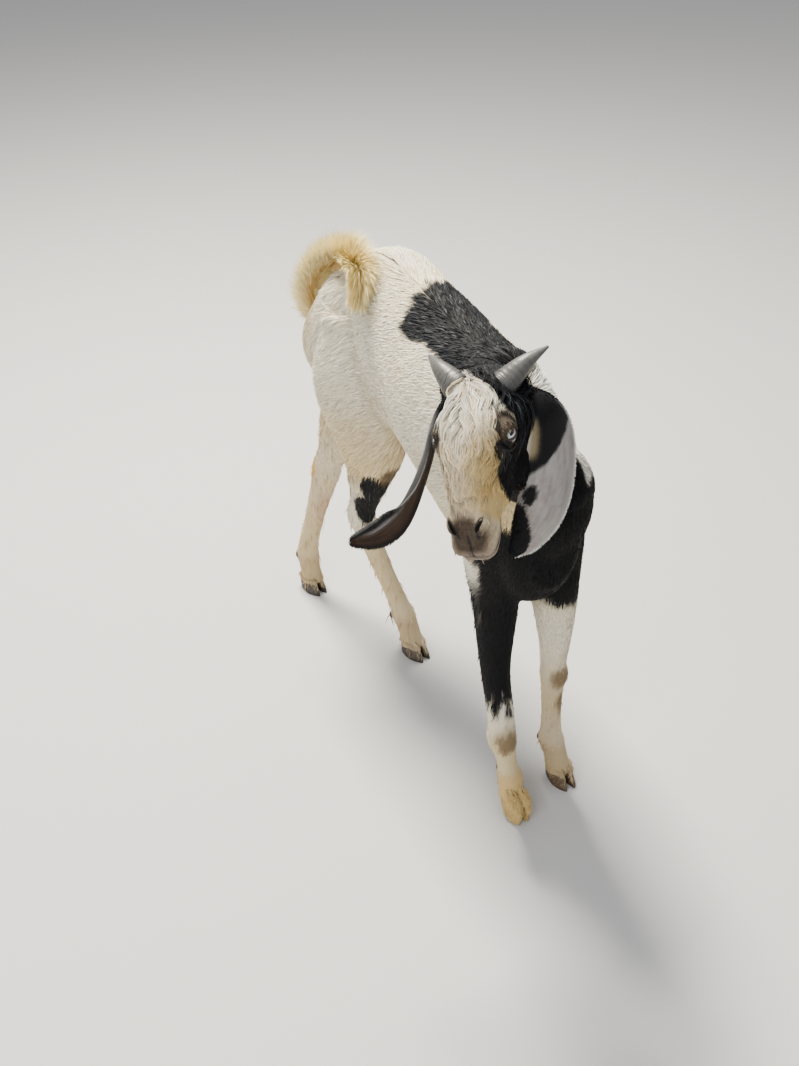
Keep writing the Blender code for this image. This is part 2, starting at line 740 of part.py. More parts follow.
def face_locks(head):
    """Hair parted between the horns that falls down the forehead to both sides."""
    skin = surface_of(head)
    along, left, out = head_axes()
    rng = random.Random(SEED)
    made = []
    for row in range(FACE_ROWS):
        a = FACE_FIRST + (FACE_LAST - FACE_FIRST) * row / (FACE_ROWS - 1)
        for column in range(FACE_COLUMNS):
            share = 2 * (column + 0.5 * (row % 2)) / (FACE_COLUMNS - 0.5) - 1
            b = FACE_SPREAD * share * (1.0 - 0.25 * row / FACE_ROWS)
            root = on_head(a + rng.uniform(-0.004, 0.004), b, 0.020)
            way = along + left * (0.55 * share + rng.uniform(-0.12, 0.12))
            scale = rng.uniform(0.85, 1.15) * (1.0 - 0.35 * row / FACE_ROWS)
            size = (FACE_LOCK[0] * scale, FACE_LOCK[1] * rng.uniform(0.85, 1.1), FACE_LOCK[2])
            lift = 0.0048 * (1.0 - 0.45 * row / FACE_ROWS)
            made.append(lying_lock(f"face_{row}_{column}", skin, root, way, size, lift, along))
    return made


def tail_locks():
    """The brush: rows of locks along the outer side of the curl, longest towards the tip."""
    rows = catmull([(*centre, radius) for centre, radius in TAIL], 12)
    rng = random.Random(SEED + 1)
    made = []
    last = len(rows) - 1
    for line, angle in enumerate(TAIL_ROWS):
        for k in range(TAIL_LOCKS):
            t = 0.10 + 0.88 * (k + 0.5 * (line % 2)) / TAIL_LOCKS
            i = min(int(t * last), last - 1)
            place = Vector(rows[i][:3])
            run = (Vector(rows[i + 1][:3]) - place).normalized()
            away = place - TAIL_HUB
            away = (away - run * away.dot(run)).normalized()
            side = run.cross(away)
            turn = math.radians(angle + rng.uniform(-9, 9))
            out = away * math.cos(turn) + side * math.sin(turn)
            length = TAIL_LOCK[0] * rng.uniform(0.85, 1.15) * (0.85 + 0.30 * t)
            length *= 1.0 - 1.6 * max(t - 0.70, 0.0)
            lean = 0.80 + 0.60 * t
            way = (out + run * lean).normalized()
            tip_way = (out * 0.55 + run * (lean + 0.5)).normalized()
            points = [
                place,
                place + way * length * 0.35,
                place + way * length * 0.60 + tip_way * length * 0.10,
                place + way * length * 0.75 + tip_way * length * 0.35,
            ]
            width = TAIL_LOCK[1] * rng.uniform(0.85, 1.1)
            made.append(lock(f"tail_{line}_{k}", points, width, TAIL_LOCK[2], side))
    return made


def cut_away(obj, cutter):
    """Cuts the cutter's shape out of the object and removes the cutter."""
    boolean(obj, cutter, "DIFFERENCE")
    bpy.data.objects.remove(cutter)


def mouth(head):
    """The line of the mouth, a fine groove round the lips."""
    half = MOUTH_GROOVE / 2
    rings = []
    steps = 12
    for k in range(steps + 1):
        turn = math.pi * (k / steps - 0.5)
        reach = math.cos(turn)
        outer_a = MOUTH_BACK + (MOUTH_FRONT + 0.008 - MOUTH_BACK) * reach**0.6
        inner_a = MOUTH_BACK + (MOUTH_FRONT - MOUTH_DEPTH - MOUTH_BACK) * reach**0.6
        outer_b = (MOUTH_HALF + 0.006) * math.sin(turn)
        inner_b = (MOUTH_HALF - MOUTH_DEPTH) * math.sin(turn)
        height = MOUTH_LINE + 0.004 * (1 - reach)
        rings.append([
            on_head(outer_a, outer_b, height + half),
            on_head(inner_a, inner_b, height + half * 0.3),
            on_head(inner_a, inner_b, height - half * 0.3),
            on_head(outer_a, outer_b, height - half),
        ])
    cut_away(head, loft("mouth_cut", rings))


def nostrils(head):
    """Two slanting, comma-shaped nostrils."""
    out = head_axes()[2]
    for mirror in (1, -1):
        a, b, c = NOSTRIL
        shape = [
            ((-0.0070, 0.0080, 0.0030), 0.0012, 0.0030),
            ((-0.0030, 0.0040, 0.0010), 0.0020, 0.0042),
            ((0.0030, -0.0010, -0.0030), 0.0022, 0.0044),
            ((0.0080, -0.0060, -0.0070), 0.0012, 0.0030),
        ]
        stations = [
            (on_head(a + da, (b + db) * mirror, c + dc), wide, deep)
            for (da, db, dc), wide, deep in shape
        ]
        cut_away(head, limb("nostril", stations, forward=out, steps=2, count=8))


def half_of(obj, name, point, normal, margin=0.0):
    """A closed copy of what lies on the normal's side of a plane, and margin past it."""
    made = copy_of(obj, name)
    normal = Vector(normal).normalized()
    mesh = bmesh.new()
    mesh.from_mesh(made.data)
    bmesh.ops.bisect_plane(
        mesh,
        geom=mesh.verts[:] + mesh.edges[:] + mesh.faces[:],
        dist=1e-7,
        plane_co=Vector(point) - normal * margin,
        plane_no=normal,
        clear_inner=True,
    )
    rim = [edge for edge in mesh.edges if edge.is_boundary]
    bmesh.ops.triangle_fill(mesh, edges=rim, use_beauty=True, use_dissolve=False)
    bmesh.ops.recalc_face_normals(mesh, faces=mesh.faces)
    mesh.to_mesh(made.data)
    mesh.free()
    return made


def islands(obj, names):
    """The separate closed surfaces of a mesh as objects, named for the nearest place."""
    made = {}
    mesh = bmesh.new()
    mesh.from_mesh(obj.data)
    left = set(mesh.verts)
    while left:
        queue = [left.pop()]
        group = list(queue)
        while queue:
            for edge in queue.pop().link_edges:
                for vert in edge.verts:
                    if vert in left:
                        left.discard(vert)
                        queue.append(vert)
                        group.append(vert)
        middle = sum((vert.co for vert in group), Vector()) / len(group)
        name = min(names, key=lambda key: (Vector(names[key]) - middle).length)
        part = mesh.copy()
        keep = {vert.index for vert in group}
        part.verts.ensure_lookup_table()
        scraps = [vert for vert in part.verts if vert.index not in keep]
        bmesh.ops.delete(part, geom=scraps, context="VERTS")
        if name not in made:
            made[name] = finish_mesh(name, part)
    mesh.free()
    return made


# Where the flesh is parted: a point of each plane, and the way to the outer piece
HEAD_CUT = (Vector((-0.098, -0.260, 0.688)), Vector((-0.80, -0.42, 0.42)))
NECK_CUT = (Vector((-0.034, -0.240, 0.612)), Vector((-0.75, -0.50, 0.43)))
LEG_CUT = (Vector((0.0, -0.230, 0.350)), Vector((0.0, 0.118, -1.0)))
LEG_PLACES = {
    "leg_front_left": (0.068, -0.232, 0.19),
    "leg_front_right": (-0.045, -0.255, 0.18),
    "leg_hind_left": (0.033, 0.330, 0.20),
    "leg_hind_right": (0.035, 0.150, 0.20),
}
HALF_GAP = GAP / 2


def dewclaws():
    """Two small claws behind each fetlock."""
    made = []
    for name, place in DEWCLAWS.items():
        heading = REAR_WAY if "hind" in name else Vector((-0.10, -1.0, 0.0))
        heading = heading.normalized()
        side = Vector((-heading.y, heading.x, 0))
        for share in (-DEWCLAW_APART, DEWCLAW_APART):
            centre = Vector(place) - heading * DEWCLAW_BACK + side * share
            made.append(sphere("dewclaw", centre, DEWCLAW_RADIUS, (0.8, 0.8, 1.35)))
    return made


def flesh():
    """Head, neck, torso and legs, modelled whole and then parted."""
    forms = [
        torso(),
        limb("neck_form", NECK, forward=Vector((0.3, 1.0, 0.6))),
        limb("fore_left", FORE_LEFT),
        limb("fore_right", FORE_RIGHT),
        limb("hind_left", HIND_LEFT, forward=REAR_WAY),
        limb("hind_right", HIND_RIGHT, forward=REAR_WAY),
        sphere("breast", BREAST[0], 1.0, BREAST[1]),
        sphere("scrotum", SCROTUM[0], 1.0, SCROTUM[1]),
    ]
    forms += [sphere("hock_point", place, 1.0, HOCK_POINT) for place in HOCK_POINTS]
    whole = joined("flesh", forms + dewclaws() + head_form())
    head_point, head_way = HEAD_CUT
    neck_point, neck_way = NECK_CUT
    leg_point, leg_way = LEG_CUT
    head = half_of(whole, "head", head_point, head_way, CUT_MARGIN)
    body = half_of(whole, "body", head_point, -head_way, CUT_MARGIN)
    bpy.data.objects.remove(whole)
    simplified(head, HEAD_FACES)
    simplified(body, BODY_FACES)
    pieces = {"head": half_of(head, "head_cut", head_point, head_way, -HALF_GAP)}
    rest = half_of(body, "rest", head_point, -head_way, -HALF_GAP)
    pieces["neck"] = half_of(rest, "neck_cut", neck_point, neck_way, -HALF_GAP)
    trunk = half_of(rest, "trunk", neck_point, -neck_way, -HALF_GAP)
    pieces["torso"] = half_of(trunk, "torso_cut", leg_point, -leg_way, -HALF_GAP)
    legs = half_of(trunk, "legs", leg_point, leg_way, -HALF_GAP)
    for name, leg in islands(legs, LEG_PLACES).items():
        sole, toe, raised = HOOVES[name.replace("leg_front", "front").replace("leg_hind", "hind")]
        place = hoof_place(sole, toe, raised)
        top = place @ Vector((0, 0, HOOF_HEIGHT))
        way = place.to_3x3() @ Vector((0, 0, 1))
        pieces[name] = half_of(leg, name + "_cut", top, way, -GAP)
        bpy.data.objects.remove(leg)
    for scrap in (head, body, rest, trunk, legs):
        bpy.data.objects.remove(scrap)
    for piece in pieces.values():
        largest(piece)
    return pieces


def build():
    clear_scene()
    pieces = flesh()
    head = pieces["head"]
    for mirror in (1, -1):
        eye_socket(head, mirror)
    mouth(head)
    nostrils(head)
    pieces["eye_left"] = eyeball("eye_l", 1)
    pieces["eye_right"] = eyeball("eye_r", -1)
    fused(head, face_locks(head))
    pieces["ear_left"] = ear("ear_l", 1, EAR_LEFT, EAR_LEFT_FACES)
    pieces["ear_right"] = ear("ear_r", -1, EAR_RIGHT, EAR_RIGHT_FACES)
    pieces["horn_left"] = horn("horn_l", 1)
    pieces["horn_right"] = horn("horn_r", -1)
    pieces["tail"] = limb("tail_form", [(p, r, r) for p, r in TAIL], Vector((1, 0.3, 0)), 2, 14)
    for side in ("left", "right"):
        clear_of(pieces["horn_" + side], head)
        clear_of(pieces["ear_" + side], head, pieces["neck"], pieces["torso"])
    fused(pieces["tail"], tail_locks())
    clear_of(pieces["tail"], pieces["torso"])
    for name, (sole, toe, raised) in HOOVES.items():
        pieces["hoof_" + name] = hoof("hoof", sole, toe, raised)
    looks = {
        "ear": GREY_SKIN, "eye": EYE_PALE, "horn": HORN_GREY, "hoof": HOOF_BROWN,
        "tail": CREAM_COAT,
    }
    parts = collection("billy_goat")
    for name, piece in pieces.items():
        piece.name = name
        piece.data.name = name
        piece.data.transform(Matrix.Translation(-ORIGIN))
        piece.data.materials.clear()
        piece.data.materials.append(material(name, looks.get(name.split("_")[0], WHITE_COAT)))
        piece.data.shade_smooth()
        bpy.context.scene.collection.objects.unlink(piece)
        parts.objects.link(piece)


build()
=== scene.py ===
# A young drop-eared billy goat with its coat, walking, head lowered and turned to its right.
# Metres, +Z up, the goat faces -Y and its own left is +X. The flesh is rebuilt from the same
# sizes as the solids, finer and sunk by the depth of the coat, and tufts of solid mesh cover it.
import math

import bmesh
import bpy
import numpy as np
from mathutils import Matrix, Vector
from mathutils.bvhtree import BVHTree


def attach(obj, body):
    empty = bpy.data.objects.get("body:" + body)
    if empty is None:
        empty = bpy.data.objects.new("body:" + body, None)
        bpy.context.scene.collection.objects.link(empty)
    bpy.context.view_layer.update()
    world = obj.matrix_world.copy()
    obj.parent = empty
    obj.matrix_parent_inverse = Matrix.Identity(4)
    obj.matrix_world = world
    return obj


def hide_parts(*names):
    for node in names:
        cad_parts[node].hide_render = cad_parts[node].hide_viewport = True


ORIGIN = Vector((-0.0569, -0.0001, 0.0))
RNG = np.random.default_rng(11)
VOXEL = 0.0017                 # grain of the joined skin
SKIN_FACES = 150000            # triangles kept on the skin
SMOOTH_ROUNDS = 26
RING = 32                      # points round each section
TRUNK_TUFTS = 140000
LEG_TUFTS = 56000
HEAD_TUFTS = 44000
TAIL_HAIRS = 14500
FACE_LOCKS = 620
LOCK_STRANDS = 22
PASTERN_TUFTS = 8500

# Torso from rump to breast: x, y, top, bottom, half width
TORSO = [
    (0.0315, 0.298, 0.572, 0.500, 0.028),
    (0.0340, 0.282, 0.606, 0.470, 0.058),
    (0.0470, 0.235, 0.664, 0.456, 0.078),
    (0.0650, 0.160, 0.698, 0.460, 0.080),
    (0.0550, 0.070, 0.686, 0.458, 0.083),
    (0.0370, -0.035, 0.670, 0.448, 0.092),
    (0.0200, -0.115, 0.676, 0.412, 0.085),
    (0.0090, -0.165, 0.688, 0.382, 0.073),
    (0.0010, -0.225, 0.655, 0.370, 0.068),
    (-0.006, -0.272, 0.595, 0.390, 0.057),
    (-0.010, -0.298, 0.535, 0.430, 0.032),
]
# Neck: centre of each section, half width, half depth
NECK = [
    ((0.002, -0.150, 0.570), 0.050, 0.100),
    ((-0.018, -0.204, 0.600), 0.050, 0.092),
    ((-0.054, -0.240, 0.645), 0.045, 0.075),
    ((-0.090, -0.256, 0.685), 0.042, 0.062),
    ((-0.118, -0.266, 0.708), 0.038, 0.050),
]
BREAST = ((0.0020, -0.262, 0.525), (0.064, 0.048, 0.085))
SCROTUM = ((0.0480, 0.2080, 0.446), (0.024, 0.024, 0.036))

# Head: the poll, the tip of the muzzle, and sections square to the line between them, each
# with its place along the face, half width, top, bottom and middle
POLL = Vector((-0.130, -0.282, 0.750))
MUZZLE = Vector((-0.2296, -0.3868, 0.6254))
HEAD_ROLL = 20.0
HEAD = [
    (-0.022, 0.020, -0.022, -0.050, -0.036),
    (-0.012, 0.036, -0.006, -0.070, -0.032),
    (0.010, 0.044, 0.009, -0.090, -0.034),
    (0.036, 0.046, 0.019, -0.099, -0.030),
    (0.062, 0.044, 0.025, -0.098, -0.022),
    (0.087, 0.0360, 0.025, -0.090, -0.026),
    (0.111, 0.0305, 0.021, -0.079, -0.028),
    (0.133, 0.0280, 0.014, -0.070, -0.026),
    (0.152, 0.0275, 0.005, -0.064, -0.028),
    (0.168, 0.0265, -0.008, -0.059, -0.032),
    (0.180, 0.0225, -0.021, -0.054, -0.037),
    (0.187, 0.0130, -0.031, -0.047, -0.040),
]
# Eye, nostril, mouth and horns, in the head's coordinates
EYE = (0.0665, 0.0350, -0.0010)
EYE_RADIUS = 0.0112
EYE_LOOK = (-0.02, 0.84, 0.54)
EYE_CORNERS = (-0.87, 0.27, -0.42)
LID_LENGTH = 0.0090
LID_HEIGHT = 0.0068
LID_THICK = 0.0030
NOSTRIL = (0.1630, 0.0145, 0.0005)
MOUTH_FRONT = 0.1875
MOUTH_BACK = 0.1410
MOUTH_LINE = -0.0365

HORN_ROOT = (0.0060, 0.0300, -0.0040)
HORN_TIP = (-0.0330, 0.0680, -0.0120)
HORN_RADIUS = 0.0128

# Ears: centre and half width of each section, and the way they face at the root and the tip
EAR_ROOT = (0.0160, 0.0340, -0.0300)
EAR_LEFT = [
    ((-0.0922, -0.3200, 0.7280), 0.013),
    ((-0.0806, -0.3350, 0.7150), 0.021),
    ((-0.0740, -0.3430, 0.6845), 0.030),
    ((-0.0765, -0.3490, 0.6406), 0.0345),
    ((-0.0870, -0.3510, 0.6030), 0.031),
    ((-0.1040, -0.3490, 0.5740), 0.021),
    ((-0.1239, -0.3455, 0.5569), 0.005),
]
EAR_LEFT_FACES = ((0.05, -0.90, 0.35), (-0.15, -0.90, 0.45))
EAR_RIGHT = [
    ((-0.1530, -0.2480, 0.7060), 0.014),
    ((-0.1560, -0.2330, 0.6740), 0.023),
    ((-0.1590, -0.2250, 0.6360), 0.031),
    ((-0.1720, -0.2225, 0.5990), 0.034),
    ((-0.1940, -0.2250, 0.5700), 0.029),
    ((-0.2260, -0.2268, 0.5572), 0.017),
    ((-0.2581, -0.2268, 0.5589), 0.005),
]
EAR_RIGHT_FACES = ((-0.75, 0.55, 0.25), (-0.42, 0.80, -0.20))
EAR_THICK = 0.0030
EAR_CUP = 0.24

# Tail without its hair: centre and radius of each section
TAIL = [
    ((0.020, 0.270, 0.566), 0.018),
    ((0.0200, 0.292, 0.6020), 0.0160),
    ((0.0270, 0.271, 0.6430), 0.0140),
    ((0.0285, 0.222, 0.6720), 0.0125),
    ((0.0090, 0.160, 0.6770), 0.0105),
    ((-0.0160, 0.127, 0.6520), 0.0060),
]
TAIL_HUB = Vector((0.030, 0.210, 0.595))

# Limbs: centre of each section, half width across, half width fore and aft
FORE_LEFT = [
    ((0.034, -0.205, 0.590), 0.022, 0.040),
    ((0.046, -0.218, 0.480), 0.034, 0.058),
    ((0.043, -0.238, 0.385), 0.031, 0.043),
    ((0.055, -0.238, 0.295), 0.0225, 0.0285),
    ((0.066, -0.231, 0.228), 0.0180, 0.0205),
    ((0.0696, -0.2305, 0.200), 0.0208, 0.0218),
    ((0.0710, -0.2285, 0.172), 0.0162, 0.0178),
    ((0.0745, -0.2280, 0.120), 0.0142, 0.0165),
    ((0.0775, -0.2280, 0.086), 0.0152, 0.0180),
    ((0.0782, -0.2295, 0.066), 0.0190, 0.0212),
    ((0.0795, -0.2400, 0.043), 0.0172, 0.0190),
    ((0.0803, -0.2490, 0.016), 0.0188, 0.0212),
]
FORE_RIGHT = [
    ((-0.026, -0.200, 0.590), 0.022, 0.040),
    ((-0.036, -0.208, 0.480), 0.034, 0.058),
    ((-0.034, -0.215, 0.375), 0.028, 0.040),
    ((-0.047, -0.238, 0.280), 0.0190, 0.0240),
    ((-0.055, -0.266, 0.208), 0.0180, 0.0205),
    ((-0.0580, -0.2730, 0.180), 0.0206, 0.0220),
    ((-0.0500, -0.2705, 0.154), 0.0164, 0.0182),
    ((-0.0330, -0.2590, 0.108), 0.0142, 0.0165),
    ((-0.0190, -0.2490, 0.074), 0.0154, 0.0180),
    ((-0.0130, -0.2460, 0.056), 0.0190, 0.0212),
    ((-0.0150, -0.2520, 0.038), 0.0172, 0.0188),
    ((-0.0165, -0.2530, 0.024), 0.0184, 0.0204),
]
HIND_LEFT = [
    ((0.082, 0.190, 0.610), 0.038, 0.070),
    ((0.080, 0.212, 0.520), 0.040, 0.088),
    ((0.066, 0.246, 0.435), 0.036, 0.078),
    ((0.052, 0.281, 0.362), 0.026, 0.050),
    ((0.044, 0.309, 0.300), 0.0185, 0.0275),
    ((0.0390, 0.3220, 0.260), 0.0195, 0.0270),
    ((0.0350, 0.3290, 0.228), 0.0170, 0.0225),
    ((0.0280, 0.3470, 0.160), 0.0152, 0.0182),
    ((0.0238, 0.3650, 0.096), 0.0160, 0.0190),
    ((0.0243, 0.3690, 0.072), 0.0192, 0.0212),
    ((0.0245, 0.3650, 0.045), 0.0174, 0.0190),
    ((0.0248, 0.3595, 0.016), 0.0188, 0.0212),
]
HIND_RIGHT = [
    ((0.022, 0.165, 0.610), 0.040, 0.066),
    ((0.002, 0.150, 0.520), 0.040, 0.084),
    ((0.002, 0.130, 0.440), 0.037, 0.068),
    ((0.008, 0.143, 0.365), 0.025, 0.041),
    ((0.0150, 0.170, 0.290), 0.0168, 0.0240),
    ((0.0190, 0.1820, 0.255), 0.0185, 0.0270),
    ((0.0270, 0.1760, 0.222), 0.0165, 0.0220),
    ((0.0450, 0.1560, 0.150), 0.0150, 0.0178),
    ((0.0600, 0.1380, 0.092), 0.0158, 0.0188),
    ((0.0654, 0.1310, 0.070), 0.0190, 0.0212),
    ((0.0680, 0.1200, 0.044), 0.0172, 0.0190),
    ((0.0696, 0.1100, 0.016), 0.0188, 0.0212),
]
REAR_WAY = Vector((0.31, -0.95, 0.0))
FRONT_WAY = Vector((-0.10, -1.0, 0.0))
DEWCLAWS = {
    "fore_left": (0.0782, -0.2295, 0.060), "fore_right": (-0.0110, -0.2440, 0.060),
    "hind_left": (0.0243, 0.3690, 0.066), "hind_right": (0.0654, 0.1330, 0.064),
}
DEWCLAW_BACK = 0.0175
DEWCLAW_APART = 0.0085
DEWCLAW_RADIUS = 0.0066
HOCK_POINTS = ((0.0350, 0.3360, 0.270), (0.0150, 0.1970, 0.264))
HOCK_POINT = (0.0090, 0.0120, 0.0240)

# Hooves: middle of the sole, the way the toe points, and how far the heel is raised
HOOVES = {
    "front_left": ((0.0812, -0.2560), (-0.10, -1.0), 0.0),
    "front_right": ((-0.0180, -0.2640), (-0.10, -1.0), 34.0),
    "hind_left": ((0.0250, 0.3540), (0.12, -1.0), 0.0),
    "hind_right": ((0.0705, 0.1010), (0.14, -1.0), 0.0),
}
HOOF_TONES = {
    "front_left": (0.090, 0.062, 0.040), "front_right": (0.300, 0.215, 0.115),
    "hind_left": (0.050, 0.042, 0.036), "hind_right": (0.060, 0.048, 0.038),
}
HOOF_LENGTH = 0.054
HOOF_HEIGHT = 0.026
CLAW_HALF = 0.0188             # from the cleft to the outer side of a hoof
TOE_PIVOT = 0.36

# Colours of the coat, in linear light
WHITE = np.array((0.80, 0.76, 0.66))
BRIGHT = np.array((0.88, 0.86, 0.79))
CREAM = np.array((0.76, 0.62, 0.38))
STAIN = np.array((0.40, 0.27, 0.14))
BLACK = np.array((0.010, 0.010, 0.011))
BLUE_GREY = np.array((0.036, 0.040, 0.050))
SILVER = np.array((0.22, 0.24, 0.27))
MAUVE = np.array((0.19, 0.155, 0.150))
EAR_GREY = np.array((0.37, 0.355, 0.335))
EAR_BLACK = np.array((0.022, 0.020, 0.021))
# Painted highlight along the fold of the right ear
EAR_HIGHLIGHT = np.array((0.42, 0.43, 0.44))
EAR_INSIDE = np.array((0.050, 0.033, 0.024))
BROW = np.array((0.062, 0.046, 0.036))
NOSE_GREY = np.array((0.112, 0.084, 0.060))
PINK = np.array((0.60, 0.38, 0.28))
GOLD = np.array((0.72, 0.52, 0.23))
YELLOW = np.array((0.90, 0.75, 0.36))
ORANGE = np.array((0.74, 0.44, 0.13))
LIP_GREY = np.array((0.30, 0.245, 0.20))
LID_GREY = (0.060, 0.050, 0.050)
EYE_BALL = np.array((0.30, 0.26, 0.22))
IRIS = np.array((0.80, 0.84, 0.82))
IRIS_WARM = np.array((0.50, 0.44, 0.30))
IRIS_RIM = np.array((0.03, 0.028, 0.026))
PUPIL = np.array((0.004, 0.004, 0.005))


def catmull(values, steps):
    """A smooth run of arrays through the given ones, with steps pieces between each two."""
    values = np.array(values, float)
    padded = np.vstack([2 * values[0] - values[1], values, 2 * values[-1] - values[-2]])
    run = []
    for i in range(1, len(padded) - 2):
        before, start, end, after = padded[i - 1 : i + 3]
        for step in range(steps):
            t = step / steps
            curve = 2 * start + (end - before) * t
            curve = curve + (2 * before - 5 * start + 4 * end - after) * t**2
            run.append(0.5 * (curve + (3 * start - before - 3 * end + after) * t**3))
    run.append(values[-1])
    return np.array(run)


def finish_mesh(name, mesh):
    bmesh.ops.recalc_face_normals(mesh, faces=mesh.faces)
    data = bpy.data.meshes.new(name)
    mesh.to_mesh(data)
    mesh.free()
    obj = bpy.data.objects.new(name, data)
    bpy.context.scene.collection.objects.link(obj)
    return obj


def bridge(mesh, rows, capped=True):
    """Faces between closed rows of equal count, and one over each end."""
    count = len(rows[0])
    for low, high in zip(rows, rows[1:]):
        for i in range(count):
            j = (i + 1) % count
            mesh.faces.new((low[i], low[j], high[j], high[i]))
    if capped:
        mesh.faces.new(rows[0][::-1])
        mesh.faces.new(rows[-1])


def loft(name, rings):
    mesh = bmesh.new()
    bridge(mesh, [[mesh.verts.new(point) for point in ring] for ring in rings])
    return finish_mesh(name, mesh)


def ellipse(centre, across, up, half_across, half_up, count=RING):
    turns = np.arange(count) * 2 * math.pi / count
    return [
        centre + across * (half_across * math.cos(t)) + up * (half_up * math.sin(t))
        for t in turns
    ]


def limb(name, stations, forward=Vector((0, -1, 0)), steps=6, count=RING):
    """A bent tube of elliptical section, its first width square to forward."""
    rows = catmull([(*centre, across, along) for centre, across, along in stations], steps)
    rings = []
    for i, (x, y, z, across, along) in enumerate(rows):
        run = Vector(rows[min(i + 1, len(rows) - 1)][:3]) - Vector(rows[max(i - 1, 0)][:3])
        run.normalize()
        side = run.cross(forward).normalized()
        front = side.cross(run).normalized()
        rings.append(ellipse(Vector((x, y, z)), side, front, across, along, count))
    return loft(name, rings)


def torso():
    rows = catmull(TORSO, 6)
    rings = []
    for i, (x, y, top, bottom, width) in enumerate(rows):
        run = Vector(rows[min(i + 1, len(rows) - 1)][:2]) - Vector(rows[max(i - 1, 0)][:2])
        side = Vector((-run.y, run.x, 0)).normalized()
        middle = bottom + 0.50 * (top - bottom)
        ring = []
        for k in range(RING):
            turn = 2 * math.pi * k / RING
            rise = math.sin(turn)
            half = (top - middle) if rise > 0 else (middle - bottom)
            share = math.copysign(abs(math.cos(turn)) ** 0.86, math.cos(turn))
            ring.append(Vector((x, y, middle + half * rise)) + side * (width * share))
        rings.append(ring)
    return loft("torso_form", rings)


def head_axes():
    """Axes of the head: along the face, to the goat's left, and out of the forehead."""
    along = (MUZZLE - POLL).normalized()
    left = Vector((0, 0, 1)).cross(-along).normalized()
    left = -left if left.x < 0 else left
    out = left.cross(along).normalized()
    out = -out if out.z < 0 else out
    roll = Matrix.Rotation(math.radians(HEAD_ROLL), 3, along)
    return along, roll @ left, roll @ out


ALONG, LEFT, OUT = head_axes()
AXES = np.array((ALONG, LEFT, OUT))


def on_head(a, b, c):
    return POLL + ALONG * a + LEFT * b + OUT * c


def head_ring(a, width, top, bottom, middle):
    ring = []
    for k in range(RING):
        turn = 2 * math.pi * k / RING
        rise = math.sin(turn)
        if rise > 0:
            height = middle + (top - middle) * rise**0.9
            narrow = 1.0 - 0.10 * rise
        else:
            height = middle - (middle - bottom) * abs(rise) ** 0.95
            narrow = 1.0 - 0.30 * abs(rise)
        share = math.copysign(abs(math.cos(turn)) ** 0.80, math.cos(turn))
        ring.append(on_head(a, width * share * narrow, height))
    return ring


def sphere(name, centre, radius, scale=(1, 1, 1), turn=Matrix.Identity(3), detail=(24, 14)):
    mesh = bmesh.new()
    place = Matrix.Translation(centre) @ turn.to_4x4() @ Matrix.Diagonal((*scale, 1.0))
    bmesh.ops.create_uvsphere(
        mesh, u_segments=detail[0], v_segments=detail[1], radius=radius, matrix=place
    )
    return finish_mesh(name, mesh)


HEAD_TURN = Matrix((ALONG, LEFT, OUT)).transposed()


def eye_frame(mirror):
    """The eyeball's centre, and its axes: corner to corner, up the lids, and outward."""
    side = LEFT * mirror
    look = (ALONG * EYE_LOOK[0] + side * EYE_LOOK[1] + OUT * EYE_LOOK[2]).normalized()
    corners = ALONG * EYE_CORNERS[0] + side * EYE_CORNERS[1] + OUT * EYE_CORNERS[2]
    corners = (corners - look * corners.dot(look)).normalized()
    a, b, c = EYE
    return on_head(a, b * mirror, c), corners, look.cross(corners), look


def head_form():
    rows = catmull(HEAD, 6)
    pieces = [loft("skull", [head_ring(*row) for row in rows])]
    a, b, c = EYE
    places = {
        "orbit": ((a - 0.002, b - 0.0035, c + 0.0005), 0.0168, (1.10, 0.90, 0.95)),
        "jaw": ((a + 0.002, 0.027, -0.060), 0.028, (1.30, 0.40, 1.05)),
        "cheek": ((a + 0.034, 0.022, -0.040), 0.021, (1.60, 0.45, 0.80)),
        "nose_side": ((0.156, 0.0145, -0.0080), 0.0120, (1.30, 0.80, 0.95)),
        "lip": ((0.168, 0.0150, -0.0285), 0.0120, (1.60, 0.90, 0.72)),
        "horn_seat": ((0.006, 0.0290, -0.0080), 0.0170, (1.0, 1.0, 1.0)),
    }
    for mirror in (1, -1):
        for name, ((x, y, z), radius, scale) in places.items():
            pieces.append(sphere(name, on_head(x, y * mirror, z), radius, scale, HEAD_TURN))
    pieces.append(
        sphere("chin", on_head(0.165, 0, -0.0560), 0.0150, (1.20, 1.05, 0.60), HEAD_TURN)
    )
    return pieces


def dewclaw_places():
    """Two on the back of each fetlock, in the frame's own place."""
    places = []
    for name, place in DEWCLAWS.items():
        heading = (REAR_WAY if "hind" in name else FRONT_WAY).normalized()
        side = Vector((-heading.y, heading.x, 0))
        for share in (-DEWCLAW_APART, DEWCLAW_APART):
            places.append(Vector(place) - heading * DEWCLAW_BACK + side * share - ORIGIN)
    return places


def dewclaws():
    return [
        sphere("dewclaw", place + ORIGIN, DEWCLAW_RADIUS, (0.8, 0.8, 1.35))
        for place in dewclaw_places()
    ]


def read(items, name, width=1, kind=np.int32):
    """One property of all items as an array."""
    values = np.empty(len(items) * width, kind)
    items.foreach_get(name, values)
    return values.reshape(-1, width) if width > 1 else values


def points_of(obj):
    return read(obj.data.vertices, "co", 3, np.float32).astype(float)


def normals_of(obj):
    return read(obj.data.vertices, "normal", 3, np.float32).astype(float)


def set_points(obj, points):
    obj.data.vertices.foreach_set("co", points.astype(np.float32).ravel())
    obj.data.update()


def applied(obj):
    """Works the object's modifiers into its mesh."""
    graph = bpy.context.evaluated_depsgraph_get()
    data = bpy.data.meshes.new_from_object(obj.evaluated_get(graph))
    obj.modifiers.clear()
    obj.data = data


def smooth_step(x, low, high):
    t = np.clip((x - low) / (high - low), 0.0, 1.0)
    return t * t * (3 - 2 * t)


